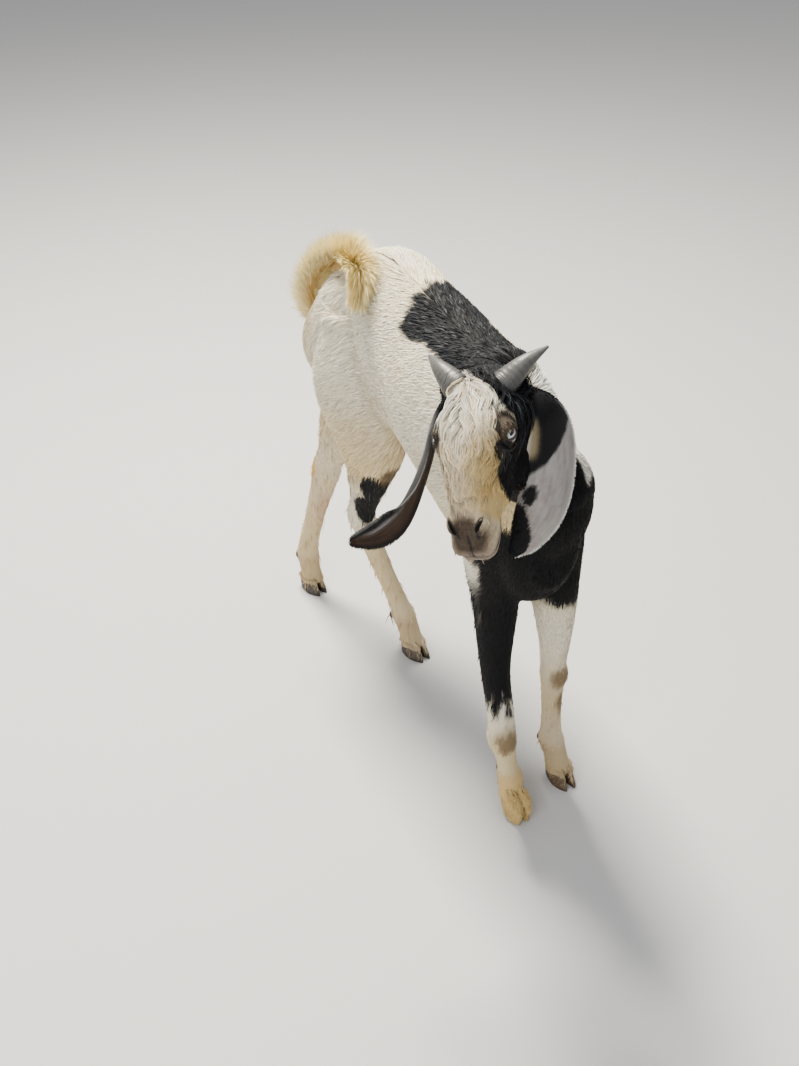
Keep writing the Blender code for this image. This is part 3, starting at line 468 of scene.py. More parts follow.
def raw_axes(points):
    """Head coordinates a, b, c of points: along the face, to its left, out of the forehead."""
    rel = points + np.array(ORIGIN) - np.array(POLL)
    return rel @ AXES[0], rel @ AXES[1], rel @ AXES[2]


def head_spot(a, b, c):
    return np.array(on_head(a, b, c) - ORIGIN)


def distance(points, place):
    return np.linalg.norm(points - np.array(place), axis=-1)


def unit(vectors):
    return vectors / np.maximum(np.linalg.norm(vectors, axis=-1), 1e-9)[..., None]


def laid(ways, normals):
    """The ways turned into the plane square to the normals, of length one."""
    return unit(ways - normals * (ways * normals).sum(1)[:, None])


LATTICE = RNG.random((32, 32, 32))


def noise(points, scale, shift=0.0):
    """Smooth noise from 0 to 1 whose features are about scale metres across."""
    p = points / scale + shift
    base = np.floor(p).astype(int)
    f = p - base
    f = f * f * (3 - 2 * f)
    out = 0.0
    for i in (0, 1):
        for j in (0, 1):
            for k in (0, 1):
                share = (
                    (f[:, 0] if i else 1 - f[:, 0])
                    * (f[:, 1] if j else 1 - f[:, 1])
                    * (f[:, 2] if k else 1 - f[:, 2])
                )
                out = out + share * LATTICE[
                    (base[:, 0] + i) % 32, (base[:, 1] + j) % 32, (base[:, 2] + k) % 32
                ]
    return out


def cloud(points, scale, shift=0.0):
    """Noise of three sizes, from about -1 to 1."""
    made = noise(points, scale, shift) + 0.5 * noise(points, scale / 2.1, shift + 7)
    made = made + 0.25 * noise(points, scale / 4.3, shift + 13)
    return (made / 1.75 - 0.5) * 2


def blob(points, centre, sizes):
    """1 at the middle of an ellipsoid, 0 on its surface, below 0 outside."""
    rel = (points - np.array(centre)) / np.array(sizes)
    return 1.0 - np.sqrt((rel * rel).sum(1))


def mix(colours, other, share):
    share = np.clip(share * np.ones(len(colours)), 0, 1)[:, None]
    return colours * (1 - share) + other * share


def flesh():
    """Head, neck, torso and legs as one skin without seams, in the row frame."""
    forms = [
        torso(),
        limb("neck_form", NECK, forward=Vector((0.3, 1.0, 0.6))),
        limb("fore_left", FORE_LEFT),
        limb("fore_right", FORE_RIGHT),
        limb("hind_left", HIND_LEFT, forward=REAR_WAY),
        limb("hind_right", HIND_RIGHT, forward=REAR_WAY),
        sphere("breast", BREAST[0], 1.0, BREAST[1]),
        sphere("scrotum", SCROTUM[0], 1.0, SCROTUM[1]),
        limb("tail_core", [(p, r, r) for p, r in TAIL], Vector((1, 0.3, 0)), 6, 20),
    ]
    forms += [sphere("hock_point", place, 1.0, HOCK_POINT) for place in HOCK_POINTS]
    mesh = bmesh.new()
    for piece in forms + dewclaws() + head_form():
        mesh.from_mesh(piece.data)
        bpy.data.objects.remove(piece)
    bmesh.ops.translate(mesh, verts=mesh.verts, vec=-ORIGIN)
    whole = finish_mesh("skin", mesh)
    remesh = whole.modifiers.new("join", "REMESH")
    remesh.mode = "VOXEL"
    remesh.voxel_size = VOXEL
    applied(whole)
    smoothed(whole)
    group = whole.vertex_groups.new(name="plain")
    points = points_of(whole)
    a = raw_axes(points)[0]
    near_face = (a > 0.03) & (points[:, 2] > 0.56) & (points[:, 1] < -0.2)
    plain = np.nonzero(~near_face)[0]
    group.add([int(i) for i in plain], 1.0, "REPLACE")
    triangulate = whole.modifiers.new("triangles", "TRIANGULATE")
    triangulate.quad_method = "FIXED"
    simplify = whole.modifiers.new("simplify", "DECIMATE")
    simplify.vertex_group = "plain"
    total = len(points) * 2
    simplify.ratio = min(1.0, SKIN_FACES / total)
    applied(whole)
    whole.vertex_groups.clear()
    return whole


def smoothed(whole):
    """Softer where the forms meet on the body, crisp on the face."""
    mesh = whole.data
    count = len(mesh.vertices)
    edges = read(mesh.edges, "vertices", 2)
    degree = np.bincount(edges.ravel(), minlength=count).astype(float)[:, None]
    points = points_of(whole)
    a = raw_axes(points)[0]
    face = smooth_step(a, 0.02, 0.06) * (points[:, 2] > 0.55) * (points[:, 1] < -0.2)
    shin = 1 - smooth_step(points[:, 2], 0.22, 0.30)
    amount = ((1.0 - 0.72 * face) * (1.0 - 0.60 * shin))[:, None]
    for _ in range(SMOOTH_ROUNDS):
        total = np.zeros_like(points)
        for column in range(3):
            total[:, column] = np.bincount(
                edges[:, 0], points[edges[:, 1], column], count
            ) + np.bincount(edges[:, 1], points[edges[:, 0], column], count)
        points += (total / degree - points) * 0.5 * amount
    set_points(whole, points)


def facial_detail(skin):
    """Sinks and raises the face: line of the mouth, lips, and the groove below the nose."""
    points = points_of(skin)
    normals = normals_of(skin)
    a, b, c = raw_axes(points)
    head = (points[:, 2] > 0.55) & (points[:, 1] < -0.2)
    shift = np.zeros(len(points))
    # The line of the mouth runs from corner to corner under the nose.
    reach = np.clip((a - MOUTH_BACK) / (MOUTH_FRONT - MOUTH_BACK), 0, 1)
    line = MOUTH_LINE + 0.004 * (1 - reach) + 0.0022 * np.exp(-((b / 0.006) ** 2))
    near = np.exp(-(((c - line) / 0.0017) ** 2)) * smooth_step(a, 0.137, 0.146)
    shift -= 0.0042 * near
    lips = np.exp(-(((c - line + 0.0065) / 0.004) ** 2)) + 0.7 * np.exp(
        -(((c - line - 0.0055) / 0.0035) ** 2)
    )
    shift += 0.0012 * lips * smooth_step(a, 0.140, 0.160)
    # The groove below the nose, between the two nostrils.
    shift -= 0.0018 * np.exp(-((b / 0.0012) ** 2)) * smooth_step(a, 0.164, 0.172) * (
        c < -0.002
    ) * (c > line + 0.001)
    set_points(skin, points + normals * (shift * head)[:, None])


def nostril_shapes():
    shapes = []
    for mirror in (1, -1):
        a, b, c = NOSTRIL
        path = [
            ((-0.0080, 0.0050, 0.0030), 0.0014, 0.0030),
            ((-0.0040, 0.0028, 0.0012), 0.0020, 0.0044),
            ((0.0020, -0.0004, -0.0026), 0.0022, 0.0046),
            ((0.0085, -0.0036, -0.0070), 0.0014, 0.0030),
        ]
        stations = [
            (on_head(a + da, (b + db) * mirror, c + dc) - ORIGIN, wide, deep)
            for (da, db, dc), wide, deep in path
        ]
        shapes.append(limb("nostril", stations, forward=OUT, steps=4, count=14))
    return shapes


def cut_away(obj, cutter):
    modifier = obj.modifiers.new("cut", "BOOLEAN")
    modifier.operation = "DIFFERENCE"
    modifier.solver = "EXACT"
    modifier.object = cutter
    applied(obj)
    bpy.data.objects.remove(cutter)


def openings(skin):
    """The nostrils and the sockets of the eyes."""
    for shape in nostril_shapes():
        cut_away(skin, shape)
    for mirror in (1, -1):
        centre, corners, rise, look = eye_frame(mirror)
        turn = Matrix((corners, rise, look)).transposed()
        mesh = bmesh.new()
        place = (
            Matrix.Translation(centre - ORIGIN + look * 0.006)
            @ turn.to_4x4()
            @ Matrix.Diagonal((LID_LENGTH * 1.02, LID_HEIGHT * 1.05, 1.0, 1.0))
        )
        bmesh.ops.create_cone(
            mesh, cap_ends=True, segments=32, radius1=1.0, radius2=1.0, depth=0.036, matrix=place
        )
        cut_away(skin, finish_mesh("opening", mesh))


def lid_ring(mirror):
    """The two lids as a rim round the opening."""
    centre, corners, rise, look = eye_frame(mirror)
    centre = centre - ORIGIN
    count = 64
    rim = []
    for k in range(count):
        turn = 2 * math.pi * k / count
        wide = LID_LENGTH * math.cos(turn)
        high = LID_HEIGHT * math.sin(turn) * (1.06 if math.sin(turn) > 0 else 0.86)
        depth = math.sqrt(max(EYE_RADIUS**2 - wide**2 - high**2, 1e-6))
        rim.append(centre + corners * wide + rise * high + look * (depth + 0.0004))
    mesh = bmesh.new()
    rows = []
    for i, point in enumerate(rim):
        run = (rim[(i + 1) % count] - rim[i - 1]).normalized()
        away = (point - centre).normalized()
        turn = 2 * math.pi * i / count
        thick = LID_THICK * (0.62 + 0.26 * max(math.sin(turn), 0))
        ring = ellipse(point - away * 0.0006, away, run.cross(away), thick * 0.62, thick, 12)
        rows.append([mesh.verts.new(corner) for corner in ring])
    bridge(mesh, rows + rows[:1], capped=False)
    return finish_mesh("lids_left" if mirror > 0 else "lids_right", mesh)


def coat_depth(points):
    """How far the skin lies below the outside of the coat."""
    a = raw_axes(points)[0]
    head = (points[:, 2] > 0.55) & (points[:, 1] < -0.2) & (a > -0.02)
    depth = 0.0030 + 0.0014 * smooth_step(points[:, 1], 0.0, 0.2)
    legs = 1 - smooth_step(points[:, 2], 0.30, 0.42)
    depth = depth * (1 - legs) + 0.0008 * legs
    return np.where(head, 0.0008, depth)


def regions(points):
    """Shares of head, tail and limbs at each point."""
    a, b, c = raw_axes(points)
    x, y, z = points.T
    head = smooth_step(a, -0.012, 0.012) * (z > 0.56) * (y < -0.2) * (c < 0.06) * (c > -0.115)
    legs = 1 - smooth_step(z, 0.34, 0.44)
    rows = catmull([(*centre, radius) for centre, radius in TAIL], 6)
    tail = np.zeros(len(points))
    for px, py, pz, radius in rows[4:]:
        gap = np.sqrt(
            (x + ORIGIN.x - px) ** 2 + (y + ORIGIN.y - py) ** 2 + (z - pz) ** 2
        )
        tail = np.maximum(tail, 1 - smooth_step(gap, radius * 1.05, radius * 1.30))
    tail = tail * (y > 0.05)
    return head, legs, tail, a, b, c


def body_colour(points):
    """The markings of the coat as plain areas with ragged edges, the same for skin and hair."""
    x, y, z = points.T
    head, _, tail, a, b, c = regions(points)
    rag = cloud(points, 0.022, 3)
    fine = cloud(points, 0.007, 5)
    wide = cloud(points, 0.09, 9)
    edge = 0.5 * rag + 0.3 * fine
    colours = np.tile(WHITE, (len(points), 1))
    colours = mix(colours, BRIGHT, 0.5 + 0.6 * wide)
    strand = cloud(points * np.array((1.0, 0.5, 0.5)), 0.010, 13)
    colours = mix(colours, CREAM, 0.24 + 0.50 * np.clip(wide + 0.5 * strand, 0, 1))
    warm = smooth_step(-z - 0.25 * np.clip(y - 0.16, 0, 0.2), -0.58, -0.42) * smooth_step(z, 0.30, 0.42)
    colours = mix(colours, CREAM * 0.96, 0.90 * warm * (0.70 + 0.6 * wide + 0.3 * strand))
    behind = smooth_step(y, 0.19, 0.30) * (1 - smooth_step(z, 0.60, 0.67))
    colours = mix(colours, CREAM * 0.94, 0.85 * behind * (0.80 + 0.6 * wide + 0.3 * strand))
    # Saddle over the shoulders and back, down to the ribs on each side.
    middle = np.interp(y, (-0.20, -0.05, 0.05, 0.12), (0.062, 0.088, 0.108, 0.118))
    drop = np.interp(
        y + 0.010 * rag, (-0.21, -0.16, -0.10, -0.04, -0.01, 0.02, 0.06),
        (0.655, 0.655, 0.652, 0.652, 0.646, 0.648, 0.668),
    )
    saddle = smooth_step(z + 0.007 * edge - drop, -0.002, 0.004)
    rear = 0.039 + 0.50 * np.clip(x - 0.085, -0.05, 0.06)
    saddle = saddle * (1 - smooth_step(y + 0.014 * rag + 0.006 * fine - rear, -0.004, 0.004))
    colours = mix(colours, BLUE_GREY * (0.26 + 0.34 * (fine[:, None] + 0.2)), saddle)
    stripe = np.exp(-(((x - middle) / 0.016) ** 2)) * saddle
    colours = mix(colours, BLACK, 0.80 * stripe)
    # Black breast, from the throat to the top of the right forearm.
    breast = smooth_step(
        -(y + 0.010 * edge) - np.interp(z, (0.36, 0.44, 0.52, 0.60, 0.66),
                                        (0.200, 0.212, 0.226, 0.250, 0.300)),
        -0.003, 0.004,
    )
    breast = breast * smooth_step(z + 0.012 * edge, 0.362, 0.372) * (1 - head)
    colours = mix(colours, BLACK, breast * (1 - smooth_step(z, 0.67, 0.69)))
    # A white strip down the left side of the neck, to the shoulder.
    strip = smooth_step(x + 0.004 * edge - 0.080 + 0.25 * (z - 0.58), -0.003, 0.003)
    strip = strip * smooth_step(-y + 0.004 * edge, 0.170, 0.178)
    strip = strip * smooth_step(z + 0.006 * edge, 0.566, 0.576)
    strip = strip * (1 - smooth_step(z + 0.008 * edge, 0.664, 0.674))
    colours = mix(colours, BRIGHT, strip)
    # A cream spot on the throat, between the muzzle and the left ear.
    throat = blob(points, (0.002, -0.264, 0.536), (0.022, 0.034, 0.025))
    colours = mix(colours, CREAM * 1.1, 0.95 * smooth_step(throat + 0.45 * edge, 0.0, 0.40))
    # Right forearm black, fading in wisps above the knee.
    fore_right = (x < 0.045) * (y < -0.10)
    wisps = cloud(points * np.array((1.0, 1.0, 0.22)), 0.005, 17)
    arm = fore_right * smooth_step(z + 0.016 * edge + 0.030 * wisps, 0.222, 0.242) * (
        1 - smooth_step(z, 0.43, 0.46)
    )
    shoulder = smooth_step(y + 0.006 * edge, -0.226, -0.220) * smooth_step(-x, 0.002, 0.007)
    shoulder = shoulder * smooth_step(z + 0.006 * edge, 0.346, 0.358)
    colours = mix(colours, BLACK, arm * (1 - shoulder))
    colours = mix(colours, WHITE, shoulder * fore_right * (1 - smooth_step(z, 0.43, 0.45)))
    low = 1 - smooth_step(z + 0.02 * rag, 0.17, np.where(fore_right > 0, 0.225, 0.30))
    colours = mix(colours, CREAM * 0.94, 0.95 * low * (0.80 + 0.5 * wide))
    shank = fore_right * (1 - smooth_step(z, 0.10, 0.20))
    colours = mix(colours, YELLOW * 0.80, 0.60 * shank * (0.75 + 0.5 * wide))
    knees = (blob(points, (-0.004, -0.290, 0.184), (0.026, 0.020, 0.030)),
             blob(points, (0.126, -0.250, 0.203), (0.022, 0.018, 0.026)),
             blob(points, (0.134, -0.238, 0.150), (0.012, 0.018, 0.030)))
    streaky = cloud(points * np.array((1.0, 1.0, 0.30)), 0.0045, 15)
    for knee in knees:
        spread = smooth_step(knee + 0.30 * rag + 0.40 * streaky, -0.15, 0.60)
        colours = mix(colours, STAIN * 0.55, 0.85 * spread)
    # Black patch at the front of the right hock and gaskin.
    thigh = blob(points, (0.050, 0.165, 0.430), (0.055, 0.105, 0.095)) * (x < 0.085)
    colours = mix(colours, CREAM * 0.95, 0.75 * smooth_step(thigh + 0.2 * edge, 0.0, 0.6))
    patch = blob(points, (0.058, 0.112, 0.345), (0.028, 0.034, 0.048))
    patch = np.maximum(patch, blob(points, (0.066, 0.142, 0.290), (0.028, 0.034, 0.052)))
    patch = patch * (x < 0.12) * (y < 0.175)
    colours = mix(colours, BLACK, smooth_step(patch + 0.22 * edge, 0.05, 0.18) * (z < 0.45))
    fringe = blob(points, (0.074, 0.090, 0.388), (0.018, 0.022, 0.036))
    colours = mix(colours, STAIN * 0.30, 0.85 * smooth_step(fringe + 0.25 * edge, 0.0, 0.3))
    for place in DEWCLAWS.values():
        claw = blob(points, np.array(place) - np.array(ORIGIN), (0.040, 0.040, 0.016))
        colours = mix(colours, PINK, 0.25 * smooth_step(claw + 0.3 * edge, 0.0, 0.5))
    for place in dewclaw_places():
        claw = blob(points, place, (0.0082, 0.0082, 0.0100))
        colours = mix(colours, BLACK * 5, smooth_step(claw, 0.0, 0.12))
    hock = blob(points, (0.090, 0.3370, 0.268), (0.022, 0.022, 0.022))
    colours = mix(colours, ORANGE, 0.92 * smooth_step(hock + 0.2 * edge, 0.0, 0.3))
    shin = blob(points, (0.088, 0.318, 0.170), (0.020, 0.024, 0.080))
    colours = mix(colours, PINK, 0.40 * smooth_step(shin + 0.2 * edge, 0.0, 0.4))
    pastern = 1 - smooth_step(z, 0.050, 0.085)
    colours = mix(colours, STAIN, 0.35 * pastern * (0.7 + 0.6 * wide))
    foot = blob(points, (0.042, -0.262, 0.045), (0.036, 0.045, 0.062))
    colours = mix(colours, GOLD * 1.1, 0.62 * smooth_step(foot + 0.2 * edge, 0.0, 0.5))
    # The tail.
    colours = mix(colours, YELLOW, tail * 0.9)
    return face_colour(points, colours, head, a, b, c, rag, fine)


def face_colour(points, colours, head, a, b, c, rag, fine):
    """White blaze, tan left side, black stripe under the left eye, grey crown and nose."""
    edge = 0.5 * rag + 0.3 * fine
    face = np.tile(BRIGHT, (len(points), 1))
    face = mix(face, CREAM, 0.24 + 0.56 * smooth_step(a + 0.01 * rag, 0.025, 0.105))
    low = smooth_step(a, 0.025, 0.075) * (1 - smooth_step(a, 0.145, 0.158))
    tan = low * smooth_step(b + 0.010 * edge, -0.006, 0.026)
    face = mix(face, GOLD, 0.85 * tan)
    # Black and grey round the horns and over the crown; the white parts from it on the right.
    limit = np.interp(
        b, (-0.042, -0.036, -0.030, -0.022, -0.012, -0.004, 0.006, 0.016, 0.026, 0.034),
        (0.030, 0.026, 0.012, -0.004, -0.007, 0.002, 0.010, 0.016, 0.026, 0.036),
    )
    crown = 1 - smooth_step(a + 0.006 * edge - limit, -0.003, 0.003)
    dark = BLACK + (SILVER * 0.5 - BLACK) * smooth_step(fine, 0.2, 0.8)[:, None]
    face = mix(face, dark, crown)
    # The left side of the head: black from the horn past the eye to a point on the cheek.
    side = smooth_step(b + 0.004 * edge, 0.024, 0.030)
    upper = np.interp(a, (0.00, 0.03, 0.055, 0.075, 0.085, 0.100, 0.112, 0.122),
                      (0.02, -0.004, -0.010, -0.006, 0.003, 0.000, -0.016, -0.046))
    black = side * smooth_step(upper - c + 0.004 * edge, -0.0015, 0.0015)
    black = black * (1 - smooth_step(a + 0.004 * edge, 0.117, 0.123))
    face = mix(face, BLACK, black)
    right = smooth_step(-b + 0.004 * edge, 0.028, 0.034) * smooth_step(-c, 0.022, 0.030)
    right = right * (1 - smooth_step(a + 0.006 * edge, 0.050, 0.062))
    face = mix(face, BLACK * 2, right)
    jaw = smooth_step(-c + 0.004 * edge, 0.030, 0.040) * smooth_step(a, 0.116, 0.124)
    jaw = jaw * (1 - smooth_step(a, 0.150, 0.160))
    face = mix(face, YELLOW, 0.75 * jaw)
    throat = smooth_step(-c + 0.004 * edge, 0.050, 0.062) * (1 - smooth_step(a, 0.100, 0.112))
    face = mix(face, BLACK, throat * (b > -0.02))
    for mirror in (1, -1):
        away = distance(points, head_spot(EYE[0], EYE[1] * mirror, EYE[2]))
        lids = 1 - smooth_step(away + 0.002 * edge, 0.0160, 0.0225)
        brow = head_spot(EYE[0] - 0.015, (EYE[1] - 0.002) * mirror, EYE[2] + 0.006)
        above = distance(points, brow)
        lids = np.maximum(lids, 1 - smooth_step(above + 0.003 * edge, 0.0115, 0.0165))
        face = mix(face, BROW * (0.50 + 0.60 * (fine[:, None] + 0.5)), 0.95 * lids)
        face = mix(face, BLACK * 2.0, 0.85 * lids * smooth_step(a - EYE[0], 0.001, 0.009))
    # Nose pad, nostrils and lips.
    spots = np.stack([a, b, c], 1)
    shade = blob(spots, (0.178, -0.003, -0.014), (0.052, 0.036, 0.038))
    speck = cloud(spots, 0.0022, 19)
    face = mix(face, NOSE_GREY * 2.1, 0.88 * smooth_step(shade + 0.12 * edge + 0.12 * speck, 0.0, 0.42))
    pad = blob(spots, (0.174, -0.001, -0.011), (0.030, 0.0255, 0.0230))
    tone = NOSE_GREY * (0.78 + 0.40 * rag[:, None] + 0.35 * speck[:, None])
    face = mix(face, tone, smooth_step(pad + 0.12 * edge + 0.10 * speck, -0.02, 0.34))
    # The nostrils are painted near black round the cut openings: painted shade inside them.
    for mirror in (1, -1):
        u = a - NOSTRIL[0]
        v = b * mirror - (NOSTRIL[1] - 0.45 * u)
        hole = 1 - np.sqrt((u / 0.0125) ** 2 + (v / 0.0036) ** 2)
        hole = hole * (c > -0.026)
        face = mix(face, BLACK * 2, 0.9 * smooth_step(hole, 0.0, 0.4))
    lip = smooth_step(a, 0.146, 0.164) * (1 - smooth_step(c, -0.032, -0.024))
    face = mix(face, LIP_GREY, 0.85 * lip)
    # The line of the mouth and the groove under the nose are painted dark: painted shade in these
    # creases.
    mouth = np.exp(-(((c - MOUTH_LINE - 0.001) / 0.0016) ** 2)) * smooth_step(a, 0.139, 0.148)
    cleft = np.exp(-((b / 0.0011) ** 2)) * smooth_step(a, 0.166, 0.174) * (c < -0.010)
    face = mix(face, BLACK * 2, 0.8 * np.maximum(mouth, cleft * (c > MOUTH_LINE)))
    return colours * (1 - head[:, None]) + face * head[:, None]


def lie(points, normals):
    """The way the hair lies at each point, along the skin."""
    x, y, z = points.T
    head, legs, _, a, b, _ = regions(points)
    way = np.zeros_like(points)
    way[:, 1] = 1.0
    side = np.sign(x - np.interp(y, (-0.2, 0.0, 0.2), (0.062, 0.095, 0.115)))
    way[:, 2] = -0.42 - 0.65 * smooth_step(y, 0.05, 0.24) - 0.30 * smooth_step(-z, -0.56, -0.44)
    way[:, 0] = 0.25 * side
    breast = smooth_step(-y, 0.20, 0.27)
    way[:, 2] -= 1.6 * breast
    way[:, 1] -= 0.8 * breast
    neck = smooth_step(z, 0.60, 0.66) * smooth_step(-y, 0.17, 0.21)
    way += neck[:, None] * np.array((0.9, 0.4, -0.9))
    down = np.array((0.0, 0.12, -1.0))
    way = way * (1 - legs[:, None]) + down * legs[:, None]
    along, left, out = AXES
    fall = along + left * (b / 0.030)[:, None] * 0.55 - out * 0.25
    crown = (1 - smooth_step(a, -0.01, 0.02))[:, None]
    fall = fall * (1 - crown) + (-out - along * 0.4) * crown
    way = way * (1 - head[:, None]) + fall * head[:, None]
    wave = 0.35 * cloud(points, 0.045, 21) + 0.30 * cloud(points, 0.016, 31)
    return laid(way + np.cross(normals, way) * wave[:, None], normals)


def unwrap_frame(points):
    """For each point the band it belongs to, its turn round the part and its place along it."""
    x, y, z = points.T
    head, _, tail, a, b, c = regions(points)
    band = np.zeros(len(points), int)
    band[head > 0.5] = 1
    limb_of = np.where(y < -0.05, np.where(x < 0.070, 2, 3), np.where(
        y + 0.9 * (x - 0.08) < 0.215, 4, 5))
    low = z < 0.355
    band[low] = limb_of[low]
    band[(tail > 0.5) & ~low] = 6
    turn = np.zeros(len(points))
    along = np.zeros(len(points))
    spine_x = np.interp(y, (-0.30, -0.15, 0.0, 0.15, 0.30), (0.050, 0.066, 0.095, 0.120, 0.090))
    body = band == 0
    turn[body] = np.arctan2(x[body] - spine_x[body], z[body] - 0.56)
    along[body] = (y[body] + 0.32) / 0.66
    inside = band == 1
    turn[inside] = np.arctan2(b[inside], c[inside] + 0.035)
    along[inside] = (a[inside] + 0.03) / 0.23
    for index, stations in ((2, FORE_RIGHT), (3, FORE_LEFT), (4, HIND_RIGHT), (5, HIND_LEFT)):
        of = band == index
        centres = np.array([centre for centre, _, _ in stations])[::-1]
        cx = np.interp(z[of], centres[:, 2], centres[:, 0]) - ORIGIN.x
        cy = np.interp(z[of], centres[:, 2], centres[:, 1]) - ORIGIN.y
        turn[of] = np.arctan2(x[of] - cx, y[of] - cy)
        along[of] = z[of] / 0.36
    of = band == 6
    hub = np.array(TAIL_HUB - ORIGIN)
    rel = points[of] - hub
    turn[of] = np.clip(rel[:, 0] / 0.06, -3, 3)
    along[of] = (np.arctan2(rel[:, 2], rel[:, 1]) + 1.2) / 4.2
    return band, turn, along


# The unwrap has one band for each part, the angle round it across and its length along:
# left edge, lower edge, width and height of trunk, head, four legs and tail.
BANDS = np.array([
    (0.00, 0.50, 0.62, 0.50), (0.64, 0.50, 0.34, 0.50), (0.00, 0.02, 0.16, 0.46),
    (0.18, 0.02, 0.16, 0.46), (0.36, 0.02, 0.16, 0.46), (0.54, 0.02, 0.16, 0.46),
    (0.72, 0.02, 0.26, 0.46),
])


def unwrap(band, turn, along):
    x0, y0, wide, high = BANDS[band].T
    u = x0 + wide * (0.06 + 0.88 * (turn / (2 * math.pi) + 0.5))
    v = y0 + high * (0.04 + 0.92 * np.clip(along, 0, 1))
    return np.stack([u, v], 1)


def unwrap_skin(obj):
    mesh = obj.data
    corners = read(mesh.loops, "vertex_index")
    starts = read(mesh.polygons, "loop_start")
    face = np.repeat(np.arange(len(starts)), read(mesh.polygons, "loop_total"))
    points = points_of(obj)
    band, turn, along = unwrap_frame(points)
    first = corners[starts][face]
    same = band[corners] == band[first]
    base = turn[first]
    loop_turn = np.where(same, turn[corners], base)
    loop_turn = base + (loop_turn - base + math.pi) % (2 * math.pi) - math.pi
    uv = unwrap(band[first], loop_turn, np.where(same, along[corners], along[first]))
    spread = (points[corners] - points[first])[:, :2] * 0.25
    uv = np.where(same[:, None], uv, uv + spread)
    layer = mesh.uv_layers.new(name="OFBake")
    layer.data.foreach_set("uv", uv.astype(np.float32).ravel())


def colour_mesh(obj, colours):
    layer = obj.data.color_attributes.new("coat", "FLOAT_COLOR", "POINT")
    rgba = np.ones((len(colours), 4), np.float32)
    rgba[:, :3] = np.clip(colours, 0, 1)
    layer.data.foreach_set("color", rgba.ravel())


def material(name, colour, sockets, bump=0.0, scale=300.0, detail=2.0, depth=0.0008):
    """One colour, or the colours held by the mesh where it is None, with a fine grain."""
    made = bpy.data.materials.new(name)
    made.use_nodes = True
    tree = made.node_tree
    shader = tree.nodes["Principled BSDF"]
    for socket, value in sockets.items():
        shader.inputs[socket].default_value = value
    if colour is None:
        tone = tree.nodes.new("ShaderNodeAttribute")
        tone.attribute_name = "coat"
        tree.links.new(tone.outputs["Color"], shader.inputs["Base Color"])
    else:
        shader.inputs["Base Color"].default_value = (*colour, 1.0)
    if bump:
        place = tree.nodes.new("ShaderNodeTexCoord")
        grain = tree.nodes.new("ShaderNodeTexNoise")
        grain.inputs["Scale"].default_value = scale
        grain.inputs["Detail"].default_value = detail
        lift = tree.nodes.new("ShaderNodeBump")
        lift.inputs["Strength"].default_value = bump
        lift.inputs["Distance"].default_value = depth
        tree.links.new(place.outputs["Object"], grain.inputs["Vector"])
        tree.links.new(grain.outputs["Fac"], lift.inputs["Height"])
        tree.links.new(lift.outputs["Normal"], shader.inputs["Normal"])
    return made


def hair_material(name, roughness, bump=0.0, scale=900.0):
    sockets = {
        "Roughness": roughness, "Specular IOR Level": 0.24, "Sheen Weight": 0.05,
        "Sheen Roughness": 0.45,
    }
    return material(name, None, sockets, bump, scale, 4.0, 0.0006)


def plain_material(name, colour, roughness, bump=0.0, scale=300.0, coat=0.0):
    sockets = {"Roughness": roughness, "Coat Weight": coat, "Coat Roughness": 0.05}
    return material(name, colour, sockets, bump, scale)


def dress(obj, look, slot, *nodes):
    obj.data.shade_smooth()
    obj.data.materials.append(look)
    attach(obj, "root")
    if nodes:
        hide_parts(*nodes)


def skin_samples(obj, count, weight):
    """Roots spread over the skin by area and weight: places, normals."""
    mesh = obj.data
    mesh.calc_loop_triangles()
    tris = read(mesh.loop_triangles, "vertices", 3)
    points = points_of(obj)
    normals = normals_of(obj)
    p, q, r = points[tris[:, 0]], points[tris[:, 1]], points[tris[:, 2]]
    area = np.linalg.norm(np.cross(q - p, r - p), axis=1) / 2
    share = area * weight((p + q + r) / 3)
    steps = (np.arange(count) + RNG.random(count)) / count
    pick = np.searchsorted(np.cumsum(share) / share.sum(), steps)
    pick = np.clip(pick, 0, len(tris) - 1)
    u, v = RNG.random(count), RNG.random(count)
    over = u + v > 1
    u[over], v[over] = 1 - u[over], 1 - v[over]
    shares = np.stack([1 - u - v, u, v], 1)[:, :, None]
    roots = (points[tris[pick]] * shares).sum(1)
    return roots, unit((normals[tris[pick]] * shares).sum(1))


def strips(rows, shades, count, steps):
    """Joins the rows of strips with steps parts and a point: points, colours and faces."""
    per = 2 * steps + 1
    base = np.arange(count)[:, None] * per
    quads = np.array([(2 * k, 2 * k + 1, 2 * k + 3, 2 * k + 2) for k in range(steps - 1)])
    quad_faces = (base[:, :, None] + quads[None]).reshape(-1, 4)
    tip_faces = base + np.array((2 * steps - 2, 2 * steps - 1, 2 * steps))[None]
    points = np.stack(rows, 1).reshape(-1, 3)
    return points, np.stack(shades, 1).reshape(-1, 3), quad_faces, tip_faces, per


def tufts(roots, normals, ways, length, width, lift, curl, colours, tips, segments):
    """Flat tapered tufts that leave the skin at their roots and lie along the ways."""
    count = len(roots)
    side = unit(np.cross(ways, normals))
    roll = (RNG.random(count) - 0.5) * 1.1
    flat = side * np.cos(roll)[:, None] + normals * np.sin(roll)[:, None]
    rows = []
    shades = []
    for k in range(segments + 1):
        t = k / segments
        reach = length * t
        height = -0.0007 + lift * (1 - (1 - t) ** 2) * (1 - 0.35 * t)
        bend = curl * t * t
        middle = roots + ways * reach[:, None] + normals * height[:, None] + side * bend[:, None]
        tone = colours * (1 - t) + tips * t
        if k < segments:
            half = width * (0.55 + 0.55 * math.sin(math.pi * min(t * 1.25 + 0.1, 1)))
            half = half * (1 - 0.25 * t)
            rows += [middle + flat * half[:, None] / 2, middle - flat * half[:, None] / 2]
            shades += [tone, tone]
        else:
            rows.append(middle)
            shades.append(tone)
    return strips(rows, shades, count, segments)


